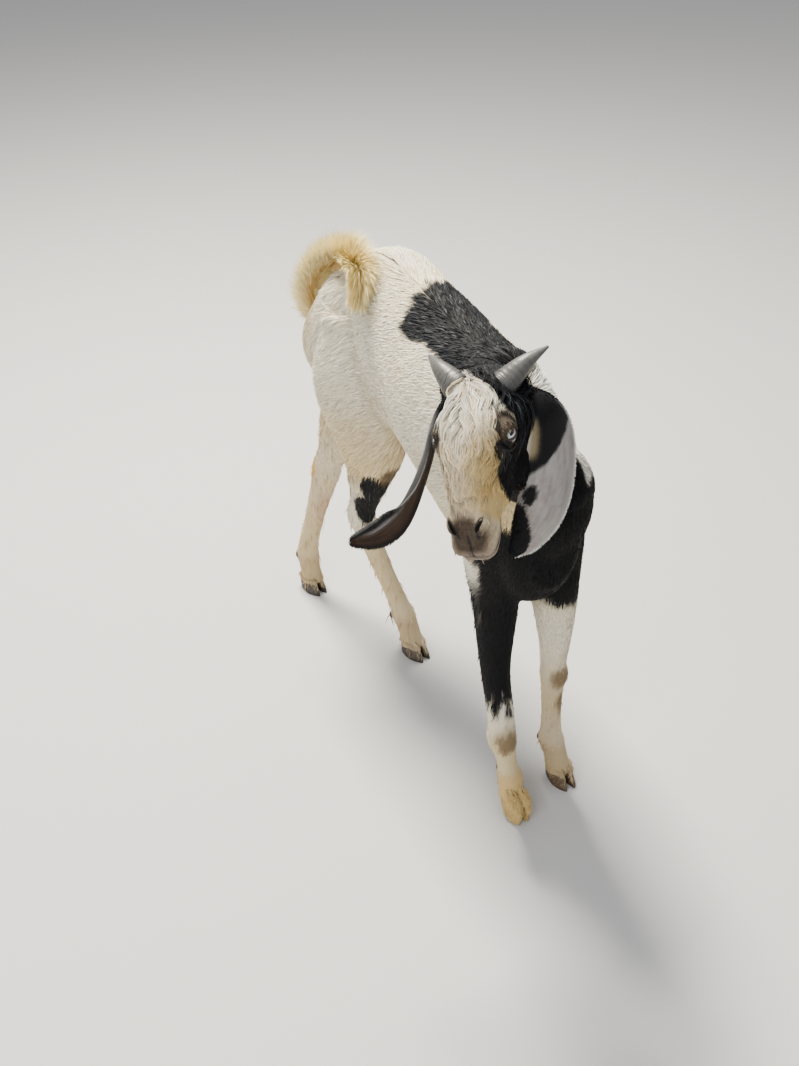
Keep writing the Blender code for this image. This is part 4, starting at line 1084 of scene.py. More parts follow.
def tuft_piece(name, parts, uv_roots, look, slot="coat"):
    """One mesh of tufts with its colours and its unwrap."""
    offset = 0
    all_points, all_tones, loops, sizes, uvs = [], [], [], [], []
    for (points, tones, quads, tips, per), uv in zip(parts, uv_roots):
        all_points.append(points)
        all_tones.append(tones)
        around = np.tile(
            np.stack([np.arange(per) % 2, np.arange(per) / per], 1) * 0.003 - 0.0015,
            (len(points) // per, 1),
        )
        spots = np.repeat(uv, per, axis=0) + around
        for faces in (quads, tips):
            loops.append((faces + offset).ravel())
            uvs.append(spots[faces.ravel()])
            sizes.append(np.full(len(faces), faces.shape[1]))
        offset += len(points)
    points = np.vstack(all_points)
    points[:, 2] = np.maximum(points[:, 2], 0.0006)
    loops = np.concatenate(loops)
    sizes = np.concatenate(sizes)
    uvs = np.vstack(uvs)
    mesh = bpy.data.meshes.new(name)
    mesh.vertices.add(len(points))
    mesh.vertices.foreach_set("co", points.astype(np.float32).ravel())
    mesh.loops.add(len(loops))
    mesh.loops.foreach_set("vertex_index", loops.astype(np.int32))
    mesh.polygons.add(len(sizes))
    mesh.polygons.foreach_set(
        "loop_start", np.concatenate([[0], np.cumsum(sizes)[:-1]]).astype(np.int32)
    )
    mesh.update(calc_edges=True)
    layer = mesh.uv_layers.new(name="OFBake")
    layer.data.foreach_set("uv", uvs.astype(np.float32).ravel())
    obj = bpy.data.objects.new(name, mesh)
    bpy.context.scene.collection.objects.link(obj)
    colour_mesh(obj, np.vstack(all_tones))
    dress(obj, look, slot)


def fur(skin, name, count, weight, size, look, segments=3):
    """Covers an area of the skin with tufts of one kind."""
    roots, normals = skin_samples(skin, count, weight)
    ways = lie(roots, normals)
    colours = body_colour(roots)
    # A few of the black tufts behind the breast are painted silver: painted glints of sheen on the
    # black coat.
    glint = (colours.mean(1) < 0.08) & (RNG.random(len(roots)) < 0.07) & (roots[:, 1] > -0.19)
    colours = np.where(glint[:, None], SILVER * 0.36, colours)
    vary = RNG.normal(1.0, 0.10, len(roots))[:, None]
    colours = colours * vary
    # The roots are painted darker than the tufts' colour, as painted shade between the strands; the
    # tips are a little lighter.
    dark = colours * np.array((0.62, 0.58, 0.50))
    tips = np.clip(colours * 1.12, 0, 0.93)
    length, width, lift, curl = size(roots)
    length = length * RNG.uniform(0.7, 1.25, len(roots))
    width = width * RNG.uniform(0.75, 1.25, len(roots))
    lift = lift * RNG.uniform(0.5, 1.4, len(roots))
    curl = curl * RNG.normal(0, 1, len(roots))
    uv = unwrap(*unwrap_frame(roots))
    limit = 180000 // (2 * segments - 1)
    rows = (roots, normals, ways, length, width, lift, curl, dark, tips)
    for index, start in enumerate(range(0, len(roots), limit)):
        at = slice(start, start + limit)
        made = tufts(*[row[at] for row in rows], segments)
        tuft_piece(f"{name}_{index + 1}", [made], [uv[at]], look)


def trunk_weight(points):
    head, legs, tail = regions(points)[:3]
    return (1 - head) * (1 - legs) * (1 - tail) + 0.02


def leg_weight(points):
    high = points[:, 2]
    weight = regions(points)[1] * (high > 0.024) * away_from_claws(points)
    return weight * (0.7 + 0.4 * smooth_step(high, 0.05, 0.3))


def away_from_face(points):
    """0 on the bare parts: lids, nose pad, lips."""
    a, b, c = raw_axes(points)
    pad = blob(np.stack([a, b, c], 1), (0.174, 0.0, -0.012), (0.024, 0.022, 0.020))
    bare = smooth_step(pad, -0.1, 0.1)
    for mirror in (1, -1):
        gap = distance(points, head_spot(EYE[0], EYE[1] * mirror, EYE[2]))
        bare = np.maximum(bare, 1 - smooth_step(gap, 0.0125, 0.0150))
    line = np.abs(c - MOUTH_LINE) < 0.0022
    bare = np.maximum(bare, line * (a > 0.140))
    return 1 - bare


def away_from_claws(points):
    """0 on the dewclaws."""
    bare = np.zeros(len(points))
    for place in dewclaw_places():
        bare = np.maximum(bare, 1 - smooth_step(distance(points, place), 0.0085, 0.0095))
    return 1 - bare


def head_weight(points):
    return regions(points)[0] * away_from_face(points)


def trunk_size(points):
    _, y, z = points.T
    rump = smooth_step(y, 0.06, 0.20)
    top = rump * smooth_step(z, 0.60, 0.66)
    length = 0.0175 + 0.0050 * rump + 0.0060 * top + 0.0040 * smooth_step(-z, -0.48, -0.40)
    front = smooth_step(-y, 0.20, 0.26)
    length = length * (1 - 0.45 * front)
    width = np.full(len(points), 0.0017)
    lift = 0.0036 + 0.0008 * rump + 0.0014 * top - 0.0016 * front
    curl = 0.0020 + 0.0022 * rump
    return length, width, lift, curl


def leg_size(points):
    low = smooth_step(-points[:, 2], -0.32, -0.16)
    length = 0.0110 - 0.0050 * low
    curl = np.full(len(points), 0.0006)
    return length, 0.0014 - 0.0003 * low, 0.0012 - 0.0006 * low, curl


def head_size(points):
    a = raw_axes(points)[0]
    nose = smooth_step(a, 0.100, 0.150)
    under = smooth_step(a, 0.140, 0.165)
    length = 0.0085 - 0.0050 * nose - 0.0008 * under
    return length, 0.0012 - 0.0004 * nose, 0.0014 - 0.0010 * nose, 0.0006 * (1 - nose)


def strand_run(skin_tree, roots, ways, lengths, sink, wave, lift, gravity, steps=7):
    """Middle lines of long locks that lie over the skin and wave as they go."""
    count = len(roots)
    lines = np.zeros((count, steps + 1, 3))
    outs = np.zeros((count, 3))
    phase = RNG.uniform(0, 2 * math.pi, count)
    for i in range(count):
        place = Vector(roots[i])
        way = Vector(ways[i]).normalized()
        pull = Vector(gravity[i])
        for k in range(steps + 1):
            hit, normal, _, _ = skin_tree.find_nearest(place)
            t = k / steps
            side = way.cross(normal)
            swing = wave[i] * math.sin(phase[i] + t * 7.0) * t
            height = -sink if k == 0 else lift[i] * math.sin(math.pi * (0.12 + 0.80 * t))
            lines[i, k] = hit + normal * height + side * swing
            if k == 0:
                outs[i] = normal
            way = (way - normal * way.dot(normal)).normalized()
            way = (way + pull * 0.22).normalized()
            place = hit + way * (lengths[i] / steps)
    return lines, outs


def ribbons(lines, outs, width, colours, tips, taper=0.8):
    """Flat tapered strips along the given lines."""
    count, rows, _ = lines.shape
    runs = unit(np.gradient(lines, axis=1))
    roll = RNG.normal(0, 0.35, count)
    parts, shades = [], []
    for k in range(rows):
        t = k / (rows - 1)
        side = unit(np.cross(runs[:, k], outs))
        side = side * np.cos(roll)[:, None] + outs * np.sin(roll)[:, None]
        tone = colours * (1 - t) + tips * t
        if k < rows - 1:
            half = width * (0.75 + 0.35 * math.sin(math.pi * min(t * 1.3, 1))) * (1 - taper * t**1.6)
            parts += [lines[:, k] + side * half[:, None] / 2, lines[:, k] - side * half[:, None] / 2]
            shades += [tone, tone]
        else:
            parts.append(lines[:, k])
            shades.append(tone)
    return strips(parts, shades, count, rows - 1)


def face_hair(skin, tree, look):
    """Long wavy hair parted between the horns, falling down the face to both sides."""
    locks, each = FACE_LOCKS, LOCK_STRANDS
    starts, _ = skin_samples(skin, locks, face_hair_weight)
    a, b, _ = raw_axes(starts)
    parting = np.interp(a, (0.0, 0.02, 0.06), (-0.012, -0.009, 0.0))
    spread = (b - parting) / 0.030 + 0.35 * np.sign(b - parting)
    near_top = 1 - smooth_step(a, 0.010, 0.060)
    along, left, _ = AXES
    spread = spread * (0.30 + 0.95 * near_top) + 0.85 * cloud(starts, 0.024, 41)
    ways = along[None] * (1.0 - 0.50 * near_top)[:, None] + left[None] * spread[:, None]
    lengths = np.interp(a, (-0.01, 0.03, 0.08, 0.12, 0.155), (0.050, 0.048, 0.036, 0.016, 0.007))
    lengths = lengths * RNG.uniform(0.55, 1.15, locks)
    wave = np.interp(a, (0.0, 0.1, 0.15), (0.0090, 0.0048, 0.0012)) * RNG.uniform(0.4, 1.2, locks)
    lift = np.interp(a, (-0.01, 0.04, 0.10, 0.15), (0.0075, 0.0062, 0.0030, 0.0008))
    lift = lift * RNG.uniform(0.45, 1.3, locks)
    pull = along[None] * 0.7 + left[None] * (-0.22 * np.sign(b))[:, None]
    guides, outs = strand_run(tree, starts, ways, lengths, 0.0006, wave, lift, pull)
    # Each lock is a clump of fine strands that draw together towards its tip.
    steps = guides.shape[1]
    lock = np.repeat(np.arange(locks), each)
    count = len(lock)
    first = unit(guides[lock, 1] - guides[lock, 0])
    side = np.cross(first, outs[lock])
    across = RNG.normal(0, 0.0030, count)
    back = RNG.uniform(-0.006, 0.004, count)
    loose = RNG.normal(0, 0.0012, count)
    layer = RNG.uniform(-0.0010, 0.0016, count)
    lines = np.zeros((count, steps, 3))
    for k in range(steps):
        t = k / (steps - 1)
        pinch = 1 - 0.72 * t
        shift = side * (across * pinch + loose * t * 1.4)[:, None]
        shift = shift + first * (back * (1 - 0.5 * t))[:, None]
        spots = guides[lock, k] + shift
        for i in range(count):
            hit, normal, _, _ = tree.find_nearest(Vector(spots[i]))
            gap = (guides[lock[i], k] - spots[i]) @ np.array(normal)
            height = -0.0005 if k == 0 else max(
                (spots[i] - np.array(hit)) @ np.array(normal) + gap + layer[i], 0.0004
            )
            lines[i, k] = np.array(hit) + np.array(normal) * height
    keep = np.ones(count, bool)
    for mirror in (1, -1):
        front = np.array(eye_frame(mirror)[3]) * EYE_RADIUS
        spot = head_spot(EYE[0], EYE[1] * mirror, EYE[2]) + front
        keep &= distance(lines, spot).min(1) > 0.0165
    # White hair doesn't lie over the black side of the head or the horns.
    roots = lines[:, 0]
    start_tone = body_colour(roots).mean(1)
    for k in (2, 3, 4, 5, 6, steps - 1):
        tone = body_colour(lines[:, k]).mean(1)
        keep &= ~((tone < 0.12) & (start_tone > 0.07) & (tone < 0.6 * start_tone))
    for mirror in (1, -1):
        base = head_spot(HORN_ROOT[0], HORN_ROOT[1] * mirror, HORN_ROOT[2] + 0.004)
        keep &= distance(lines, base).min(1) > 0.0150
    for k in range(steps):
        a, b, _ = raw_axes(lines[:, k])
        keep &= ~((np.abs(b) > 0.0365) & (a > 0.035) & (a < 0.10) & (start_tone > 0.10))
    lines, lock = lines[keep], lock[keep]
    count = len(lock)
    roots = lines[:, 0]
    a, b, _ = raw_axes(roots)
    colours = body_colour(roots) * RNG.normal(1.0, 0.07, count)[:, None]
    colours = colours * RNG.uniform(0.74, 1.08, locks)[lock][:, None]
    dark = colours.mean(1) < 0.10
    warm = RNG.uniform(-0.30, 0.55, locks)[lock]
    colours = np.where(dark[:, None], colours, mix(colours, CREAM * 0.92, np.clip(warm, 0, 1)))
    streak = RNG.random(count)
    colours = np.where((dark & (streak < 0.16))[:, None], SILVER * 0.45, colours)
    tan = smooth_step(b, -0.004, 0.02) * smooth_step(a, 0.03, 0.08)
    tips = mix(colours * 1.12, GOLD * 1.15, np.where(dark, 0.0, 0.50 * tan))
    width = np.interp(a, (0.0, 0.1, 0.15), (0.00092, 0.00078, 0.00060)) * RNG.uniform(0.7, 1.3, count)
    width = np.where(dark, width * 0.72, width)
    # The strands start at half their colour at the root: painted shade between the locks.
    made = ribbons(lines, outs[lock], width, colours * 0.50, np.clip(tips, 0, 0.94), 0.7)
    tuft_piece("face_hair", [made], [unwrap(*unwrap_frame(roots))], look)


def face_hair_weight(points):
    head, _, _, a, b, c = regions(points)
    top = smooth_step(c - np.interp(a, (-0.01, 0.05, 0.12), (-0.02, 0.0, 0.005)), -0.010, 0.006)
    upper = smooth_step(a, -0.012, -0.002) * (1 - 0.92 * smooth_step(a, 0.100, 0.150))
    upper = upper * (1 - smooth_step(a, 0.150, 0.160))
    return head * top * upper * away_from_face(points) * (np.abs(b) < 0.042)


def tail_hair(look):
    """The brush of the tail, standing out round its curl."""
    rows = catmull([(*centre, radius) for centre, radius in TAIL], 24)
    places = rows[:, :3] - np.array(ORIGIN)
    count = TAIL_HAIRS
    hub = np.array(TAIL_HUB - ORIGIN)
    t = 0.02 + 0.98 * RNG.random(count) ** 0.8
    at = np.clip((t * (len(rows) - 2)).astype(int), 0, len(rows) - 2)
    runs = unit(places[at + 1] - places[at])
    away = laid(places[at] - hub, runs)
    side = np.cross(runs, away)
    angle = RNG.normal(0, 1.05, count)
    angle = (angle + math.pi) % (2 * math.pi) - math.pi
    out = away * np.cos(angle)[:, None] + side * np.sin(angle)[:, None]
    roots = places[at] + runs * (RNG.random(count) * 0.004)[:, None] + out * (
        rows[at, 3] * 0.85
    )[:, None]
    outer = smooth_step(np.cos(angle), -0.3, 0.8)
    last = smooth_step(t, 0.72, 0.97)
    lengths = (0.011 + 0.023 * outer) * RNG.uniform(0.66, 1.12, count)
    lengths = lengths * np.where(RNG.random(count) < 0.12, 1.22, 1.0)
    lengths = lengths * np.interp(t, (0.0, 0.15, 0.7, 0.85, 1.0), (0.65, 1.0, 1.05, 0.90, 0.42))
    lean = np.interp(t, (0, 0.5, 0.75, 1.0), (0.25, 0.45, 0.80, 1.15))
    lean = lean + 0.9 * (1 - outer) + RNG.normal(0, 0.14, count)
    rise = (1 - 0.45 * last) * (0.45 + 0.55 * outer)
    tufted = cloud(roots, 0.008, 55)
    steps = 5
    lines = np.zeros((count, steps + 1, 3))
    for k in range(steps + 1):
        s = k / steps
        bend = out * ((s - 0.14 * s * s) * rise)[:, None]
        ahead = runs * ((lean + 0.25 * tufted) * s * (0.6 + 0.6 * s))[:, None]
        lines[:, k] = roots + lengths[:, None] * (bend + ahead)
    lines += cloud(roots, 0.010, 51)[:, None, None] * side[:, None, :] * (
        0.0060 * (np.arange(steps + 1) / steps) ** 2
    )[None, :, None]
    inner = 1 - smooth_step(np.cos(angle), -0.2, 0.5)
    root_tone = mix(np.tile(YELLOW * 0.92, (count, 1)), ORANGE, 0.60 * inner + 0.15)
    root_tone = mix(root_tone, ORANGE * 1.1, 0.40 * last * RNG.random(count))
    root_tone = root_tone * (1 + 0.25 * smooth_step(t, 0.40, 0.60))[:, None]
    tips = mix(np.tile(YELLOW * 1.08, (count, 1)), BRIGHT, 0.38)
    tips = mix(tips, ORANGE, 0.22 * inner)
    # A part of the hair lies close along the bend, over the parting of the rest.
    close = (RNG.random(count) < 0.36) & (t > 0.42)
    flat = roots + out * 0.001
    for k in range(steps + 1):
        s = k / steps
        along = flat + (runs * (0.022 * s) + away * (0.0035 * math.sin(math.pi * s)))
        lines[close, k] = along[close]
    vary = RNG.normal(1, 0.08, count)[:, None]
    width = RNG.uniform(0.0007, 0.0014, count)
    made = ribbons(lines, side * np.cos(angle)[:, None] - away * np.sin(angle)[:, None],
                   width, root_tone * vary, np.clip(tips * vary, 0, 0.92))
    uv = unwrap(np.full(count, 6), np.clip(angle, -3, 3), t)
    tuft_piece("tail_hair", [made], [uv], look)


def ear_grid(mirror, stations, faces, steps=12, across=20):
    root = on_head(EAR_ROOT[0], EAR_ROOT[1] * mirror, EAR_ROOT[2])
    rows = catmull([(*root, 0.009)] + [(*centre, width) for centre, width in stations], steps)
    last = len(rows) - 1
    grid, ways, outs = [], [], []
    for i, (x, y, z, width) in enumerate(rows):
        run = Vector(rows[min(i + 1, last)][:3]) - Vector(rows[max(i - 1, 0)][:3])
        face = Vector(faces[0]).lerp(Vector(faces[1]), i / last)
        run.normalize()
        side = run.cross(face).normalized()
        out = side.cross(run).normalized()
        middle = Vector((x, y, z)) - ORIGIN
        line = []
        for k in range(across + 1):
            share = 2 * k / across - 1
            sink = EAR_CUP * width * share * share
            ripple = 0.0010 * math.sin(i * 0.19 + 1.3 * share) * abs(share) ** 2
            line.append(middle + side * (width * 0.985 * share) - out * (sink + ripple))
        grid.append(line)
        ways.append(run)
        outs.append(out)
    return grid, ways, outs


def ear_colour(mirror, s, t, face):
    """Colours of an ear: s from root to tip, t across, face 1 outside and 0 inside."""
    where = np.stack([s * 0.22, t * 0.05, np.full_like(s, 0.3 * mirror)], 1)
    rag = cloud(where, 0.016, 61)
    fine = cloud(where, 0.0045, 67)
    edge = 0.5 * rag + 0.3 * fine
    base = np.tile(EAR_GREY, (len(s), 1))
    base = mix(base, MAUVE * 1.3, 0.20 + 0.50 * rag + 0.45 * fine)
    base = mix(base, PINK * 0.8, 0.16 * smooth_step(s, 0.6, 0.85) * (0.5 + rag))
    long = np.stack([s * 0.05, t * 0.05, np.full_like(s, 0.7)], 1)
    wrinkle = cloud(long, 0.006, 71)
    base = base * (1 + 0.28 * wrinkle)[:, None]
    # Darker lines run along the ear.
    ear_lines = np.abs(np.sin(t * 8.0 + 1.6 * np.sin(s * 6.0) + 1.2 * rag))
    base = base * (0.80 + 0.20 * smooth_step(ear_lines, 0.0, 0.22))[:, None]
    if mirror > 0:
        # t runs from the outer edge (-1) to the edge next to the face (+1).
        lower = 0.475 + 0.100 * t + 0.030 * edge
        band = 1 - smooth_step(s - lower, -0.006, 0.010)
        base = mix(base, BLACK, band)
        streak = smooth_step(t + 0.10 * edge, 0.55, 0.90) * (1 - smooth_step(s, 0.46, 0.51))
        streak = streak * smooth_step(s + 0.03 * edge, 0.22, 0.30)
        base = mix(base, CREAM * 0.55, 0.85 * streak)
        spot = 1 - np.sqrt(((s - 0.655) / 0.062) ** 2 + ((t - 0.70) / 0.24) ** 2)
        base = mix(base, BLACK, smooth_step(spot + 0.3 * edge, 0.0, 0.2))
        limit = np.interp(s, (0.68, 0.76, 0.83, 0.89, 0.94, 1.0), (0.95, 0.62, 0.22, -0.3, -0.8, -1.1))
        low = smooth_step(t + 0.12 * edge - limit, -0.03, 0.05) * smooth_step(s, 0.69, 0.72)
        base = mix(base, BLACK, low)
    else:
        base = np.tile(EAR_BLACK, (len(s), 1))
        top = 1 - smooth_step(s + 0.05 * edge, 0.34, 0.42)
        base = mix(base, BLACK, top)
        # A painted highlight along the ridge of the right ear's outer face.
        ridge = np.exp(-(((t + 0.35 - 0.3 * s + 0.10 * edge) / 0.15) ** 2)) * smooth_step(s, 0.15, 0.3)
        ridge = ridge * (0.6 + 0.8 * wrinkle)
        base = mix(base, EAR_HIGHLIGHT, 0.75 * ridge * (1 - smooth_step(s, 0.7, 0.95)))
    inside = np.tile(EAR_INSIDE, (len(s), 1))
    inside = mix(inside, PINK * 0.25, 0.35 * (0.5 + 0.5 * rag))
    if mirror < 0:
        inside = mix(inside, BLACK * 1.5, smooth_step(-t + 0.15 * edge, 0.36, 0.52))
        inside = mix(inside, BLACK * 1.5, 0.8 * smooth_step(t + 0.15 * edge, 0.70, 0.90))
        # A painted highlight along the right ear's inner face as well.
        streak = np.exp(-(((t + 0.26 + 0.12 * edge) / 0.15) ** 2)) * smooth_step(s, 0.30, 0.42)
        streak = streak * (0.65 + 0.9 * wrinkle) * (1 - smooth_step(s, 0.86, 0.97))
        inside = mix(inside, EAR_HIGHLIGHT, 0.85 * np.clip(streak, 0, 1))
        inside = inside * (1 + 0.5 * wrinkle)[:, None]
    colours = inside * (1 - face[:, None]) + base * face[:, None]
    rim = smooth_step(np.abs(t), 0.95, 0.995) * smooth_step(s, 0.25, 0.4)
    rim = rim * (1 - smooth_step(t, 0.0, 0.3) * smooth_step(s, 0.58, 0.64))
    return mix(colours, BRIGHT * 0.85, (0.75 if mirror > 0 else 0.25) * rim)


def ear(name, node, mirror, stations, faces, look, hair):
    grid, ways, outs = ear_grid(mirror, stations, faces)
    rows, columns = len(grid), len(grid[0])
    mesh = bmesh.new()
    marks = []
    shells = []
    for sign in (1, -1):
        shell = []
        for i in range(rows):
            line = []
            for k in range(columns):
                share = 2 * k / (columns - 1) - 1
                thick = EAR_THICK * (1.0 - 0.62 * abs(share) ** 2.2) / 2
                thick *= 0.55 if i > rows - 3 else 1.0
                line.append(mesh.verts.new(grid[i][k] + outs[i] * (thick * sign)))
                marks.append((i / (rows - 1), share, 1.0 if sign > 0 else 0.0))
            shell.append(line)
        shells.append(shell)
    for shell, flip in ((shells[0], False), (shells[1], True)):
        for i in range(rows - 1):
            for k in range(columns - 1):
                corners = [shell[i][k], shell[i][k + 1], shell[i + 1][k + 1], shell[i + 1][k]]
                mesh.faces.new(corners[::-1] if flip else corners)
    top, low = shells
    for i in range(rows - 1):
        mesh.faces.new((top[i][0], top[i + 1][0], low[i + 1][0], low[i][0]))
        mesh.faces.new((top[i + 1][-1], top[i][-1], low[i][-1], low[i + 1][-1]))
    for k in range(columns - 1):
        mesh.faces.new((top[0][k + 1], top[0][k], low[0][k], low[0][k + 1]))
        mesh.faces.new((top[-1][k], top[-1][k + 1], low[-1][k + 1], low[-1][k]))
    obj = finish_mesh(name, mesh)
    marks = np.array(marks)
    colour_mesh(obj, ear_colour(mirror, marks[:, 0], marks[:, 1], marks[:, 2]))
    layer = obj.data.uv_layers.new(name="OFBake")
    uv = np.stack([
        np.where(marks[:, 2] > 0.5, 0.02, 0.52) + 0.44 * (marks[:, 1] + 1) / 2,
        0.02 + 0.95 * marks[:, 0],
    ], 1)
    corners = read(obj.data.loops, "vertex_index")
    layer.data.foreach_set("uv", uv[corners].astype(np.float32).ravel())
    dress(obj, look, "ear", node)
    ear_fur(name + "_fur", mirror, grid, ways, outs, hair)


def ear_fur(name, mirror, grid, ways, outs, look):
    """Very short hair that lies towards the tip, and outwards over the rim."""
    points = np.array([[list(p) for p in line] for line in grid])
    rows, columns = points.shape[:2]
    ways = np.array([list(w) for w in ways])
    outs = np.array([list(o) for o in outs])
    parts, spots = [], []
    for sign, count in ((1, 9000), (-1, 3500)):
        s = RNG.random(count) ** 0.9
        t = RNG.random(count)
        rim = RNG.random(count) < 0.16
        t = np.where(rim, np.where(RNG.random(count) < 0.5, 0.004, 0.996), t)
        i = np.clip((s * (rows - 1)).astype(int), 0, rows - 2)
        k = np.clip((t * (columns - 1)).astype(int), 0, columns - 2)
        down = (s * (rows - 1) - i)[:, None]
        over = (t * (columns - 1) - k)[:, None]
        near = points[i, k] * (1 - down) + points[i + 1, k] * down
        far = points[i, k + 1] * (1 - down) + points[i + 1, k + 1] * down
        p = near * (1 - over) + far * over
        normal = outs[i] * sign
        share = 2 * t - 1
        p = p + normal * (EAR_THICK * 0.5 * (1.0 - 0.62 * np.abs(share) ** 2.2))[:, None]
        across = unit(points[i, -1] - points[i, 0])
        swing = np.where(rim, np.sign(share) * 0.9, 0.15 * RNG.normal(0, 1, count))
        way = unit(ways[i] + across * swing[:, None])
        face = np.full(count, 1.0 if sign > 0 else 0.0)
        tone = ear_colour(mirror, s, share, face) * RNG.normal(1, 0.12, count)[:, None]
        length = np.where(rim, 0.0042, 0.0050) * RNG.uniform(0.6, 1.2, count)
        # The hairs are painted a little darker at the root: painted shade among the hairs.
        made = tufts(
            p, normal, way, length, np.full(count, 0.0010), np.full(count, 0.0006),
            RNG.normal(0, 0.0004, count), tone * 0.85, np.clip(tone * 1.12, 0, 0.9), 2,
        )
        parts.append(made)
        spots.append(np.stack([
            np.where(face > 0.5, 0.02, 0.52) + 0.44 * t, 0.02 + 0.95 * s
        ], 1))
    tuft_piece(name, parts, spots, look, "ear")


def horn(name, node, mirror, look):
    root = on_head(HORN_ROOT[0], HORN_ROOT[1] * mirror, HORN_ROOT[2])
    tip = on_head(HORN_TIP[0], HORN_TIP[1] * mirror, HORN_TIP[2])
    run = tip - root
    stations = []
    for share, size in ((-0.15, 1.28), (0.0, 1.22), (0.5, 0.70), (1.0, 0.12)):
        bow = 0.005 * math.sin(math.pi * max(share, 0))
        stations.append((
            root + run * share + OUT * bow - ORIGIN, HORN_RADIUS * size, HORN_RADIUS * 0.86 * size
        ))
    rows = catmull([(*centre, wide, deep) for centre, wide, deep in stations], 26)
    rings, tones = [], []
    count = 28
    along = run.normalized()
    side = along.cross(OUT).normalized()
    front = side.cross(along).normalized()
    for i, (x, y, z, wide, deep) in enumerate(rows):
        t = i / (len(rows) - 1)
        ridge = 1.0 - 0.020 * (0.5 + 0.5 * math.cos(t * 78)) * (1 - t) ** 0.6
        rings.append(ellipse(Vector((x, y, z)), side, front, wide * ridge, deep * ridge, count))
        shade = 0.070 + 0.065 * t + 0.008 * math.cos(t * 78)
        tones += [np.array((shade, shade * 0.975, shade * 0.90))] * count
    obj = loft(name, rings)
    tones = np.array(tones)
    tones *= (0.85 + 0.3 * noise(points_of(obj), 0.003, 77))[:, None]
    colour_mesh(obj, tones)
    dress(obj, look, "horn", node)


def eye(name, node, mirror, wet):
    """An eyeball with a pale iris and a level dark pupil."""
    centre, corners, rise, look = eye_frame(mirror)
    centre = centre - ORIGIN
    turn = Matrix((corners, rise, look)).transposed()
    obj = sphere(name, centre, EYE_RADIUS * 0.985, turn=turn, detail=(96, 64))
    points = points_of(obj) - np.array(centre)
    u = points @ np.array(corners)
    v = points @ np.array(rise)
    w = points @ np.array(look)
    level = math.radians(6)
    pu = u * math.cos(level) + v * math.sin(level)
    pv = -u * math.sin(level) + v * math.cos(level)
    radius = np.sqrt(u * u + v * v)
    turn_round = np.arctan2(v, u)
    tones = np.tile(EYE_BALL, (len(points), 1))
    iris = (1 - smooth_step(radius, 0.0072, 0.0077)) * (w > 0)
    pale = np.tile(IRIS, (len(points), 1))
    streaks = 0.5 + 0.5 * np.sin(turn_round * 46 + 2 * np.sin(turn_round * 9))
    pale = pale * (0.82 + 0.18 * streaks)[:, None]
    pale = mix(pale, IRIS_WARM, 0.25 * (1 - smooth_step(radius, 0.003, 0.006)))
    tones = tones * (1 - iris[:, None]) + pale * iris[:, None]
    rim = np.exp(-(((radius - 0.0074) / 0.0005) ** 2)) * (w > 0)
    tones = mix(tones, IRIS_RIM, 0.85 * rim)
    slot = (np.abs(pu / 0.0044) ** 2.6 + np.abs(pv / 0.0017) ** 2.6) ** (1 / 2.6)
    tones = mix(tones, PUPIL, (1 - smooth_step(slot, 0.92, 1.06)) * (w > 0))
    colour_mesh(obj, tones)
    dress(obj, wet, "eye", node)


def hoof_place(sole, toe, raised):
    heading = Vector((*toe, 0)).normalized()
    side = Vector((-heading.y, heading.x, 0))
    pivot = Matrix.Translation(heading * (HOOF_LENGTH * TOE_PIVOT))
    turn = Matrix.Rotation(math.radians(raised), 4, side)
    return Matrix.Translation(Vector((*sole, 0))) @ pivot @ turn @ pivot.inverted(), heading, side


def hoof(name, node, sole, toe, raised, look, tone):
    """Two claws side by side, each rounded at the toe and flat below."""
    place, heading, side = hoof_place(sole, toe, raised)
    mesh = bmesh.new()
    tones, heights = [], []
    count = 40
    levels = 12
    crown = 5
    for half in (-1, 1):
        rows = []
        for k in range(levels + crown):
            level = min(k / levels, 1.0)
            bend = math.pi / 2 * max(k - levels, 0) / crown
            size = 1.0 - 0.20 * level - 0.05 * (1 - level) ** 8
            rise = HOOF_HEIGHT * 1.06 * level + 0.0003 + 0.0050 * math.sin(bend)
            ring = []
            for i in range(count):
                turn = 2 * math.pi * i / count
                fore = math.cos(turn)
                wide = math.sin(turn) * half
                length = 0.485 * HOOF_LENGTH * fore * math.cos(bend)
                outer = CLAW_HALF * (1 - 0.30 * max(fore, 0) ** 2 - 0.10 * max(-fore, 0))
                inner = 0.0014 + 0.0010 * max(fore, 0)
                if raised:
                    inner = 0.0002 + 0.0022 * max(fore, 0) ** 4
                across = 0.5 * (inner + outer + (outer - inner) * wide * math.cos(bend))
                spot = heading * (length * size - 0.30 * HOOF_HEIGHT * level)
                spot += side * (half * across * (size if wide > 0 else 1.0))
                ring.append(mesh.verts.new(spot + Vector((0, 0, rise))))
                # The horn is banded near the sole and lighter towards the top.
                banding = 1.0 + 0.25 * math.cos(level * 40) * (1 - level) + 0.7 * level
                tones.append(np.array(tone) * banding)
                heights.append(level)
            rows.append(ring)
        bridge(mesh, rows)
    obj = finish_mesh(name, mesh)
    obj.data.transform(place)
    points = points_of(obj)
    points[:, 2] = np.maximum(points[:, 2], 0.0002)
    set_points(obj, points - np.array(ORIGIN))
    points = points_of(obj)
    tones = np.array(tones) * (0.8 + 0.5 * noise(points, 0.006, 81))[:, None]
    # Towards the top the hoof takes the coat's colour, a fifth darker as painted shade under the hair.
    tones = mix(tones, body_colour(points) * 0.8, smooth_step(np.array(heights), 0.62, 0.88))
    colour_mesh(obj, tones)
    dress(obj, look, "hoof", node)
    return obj


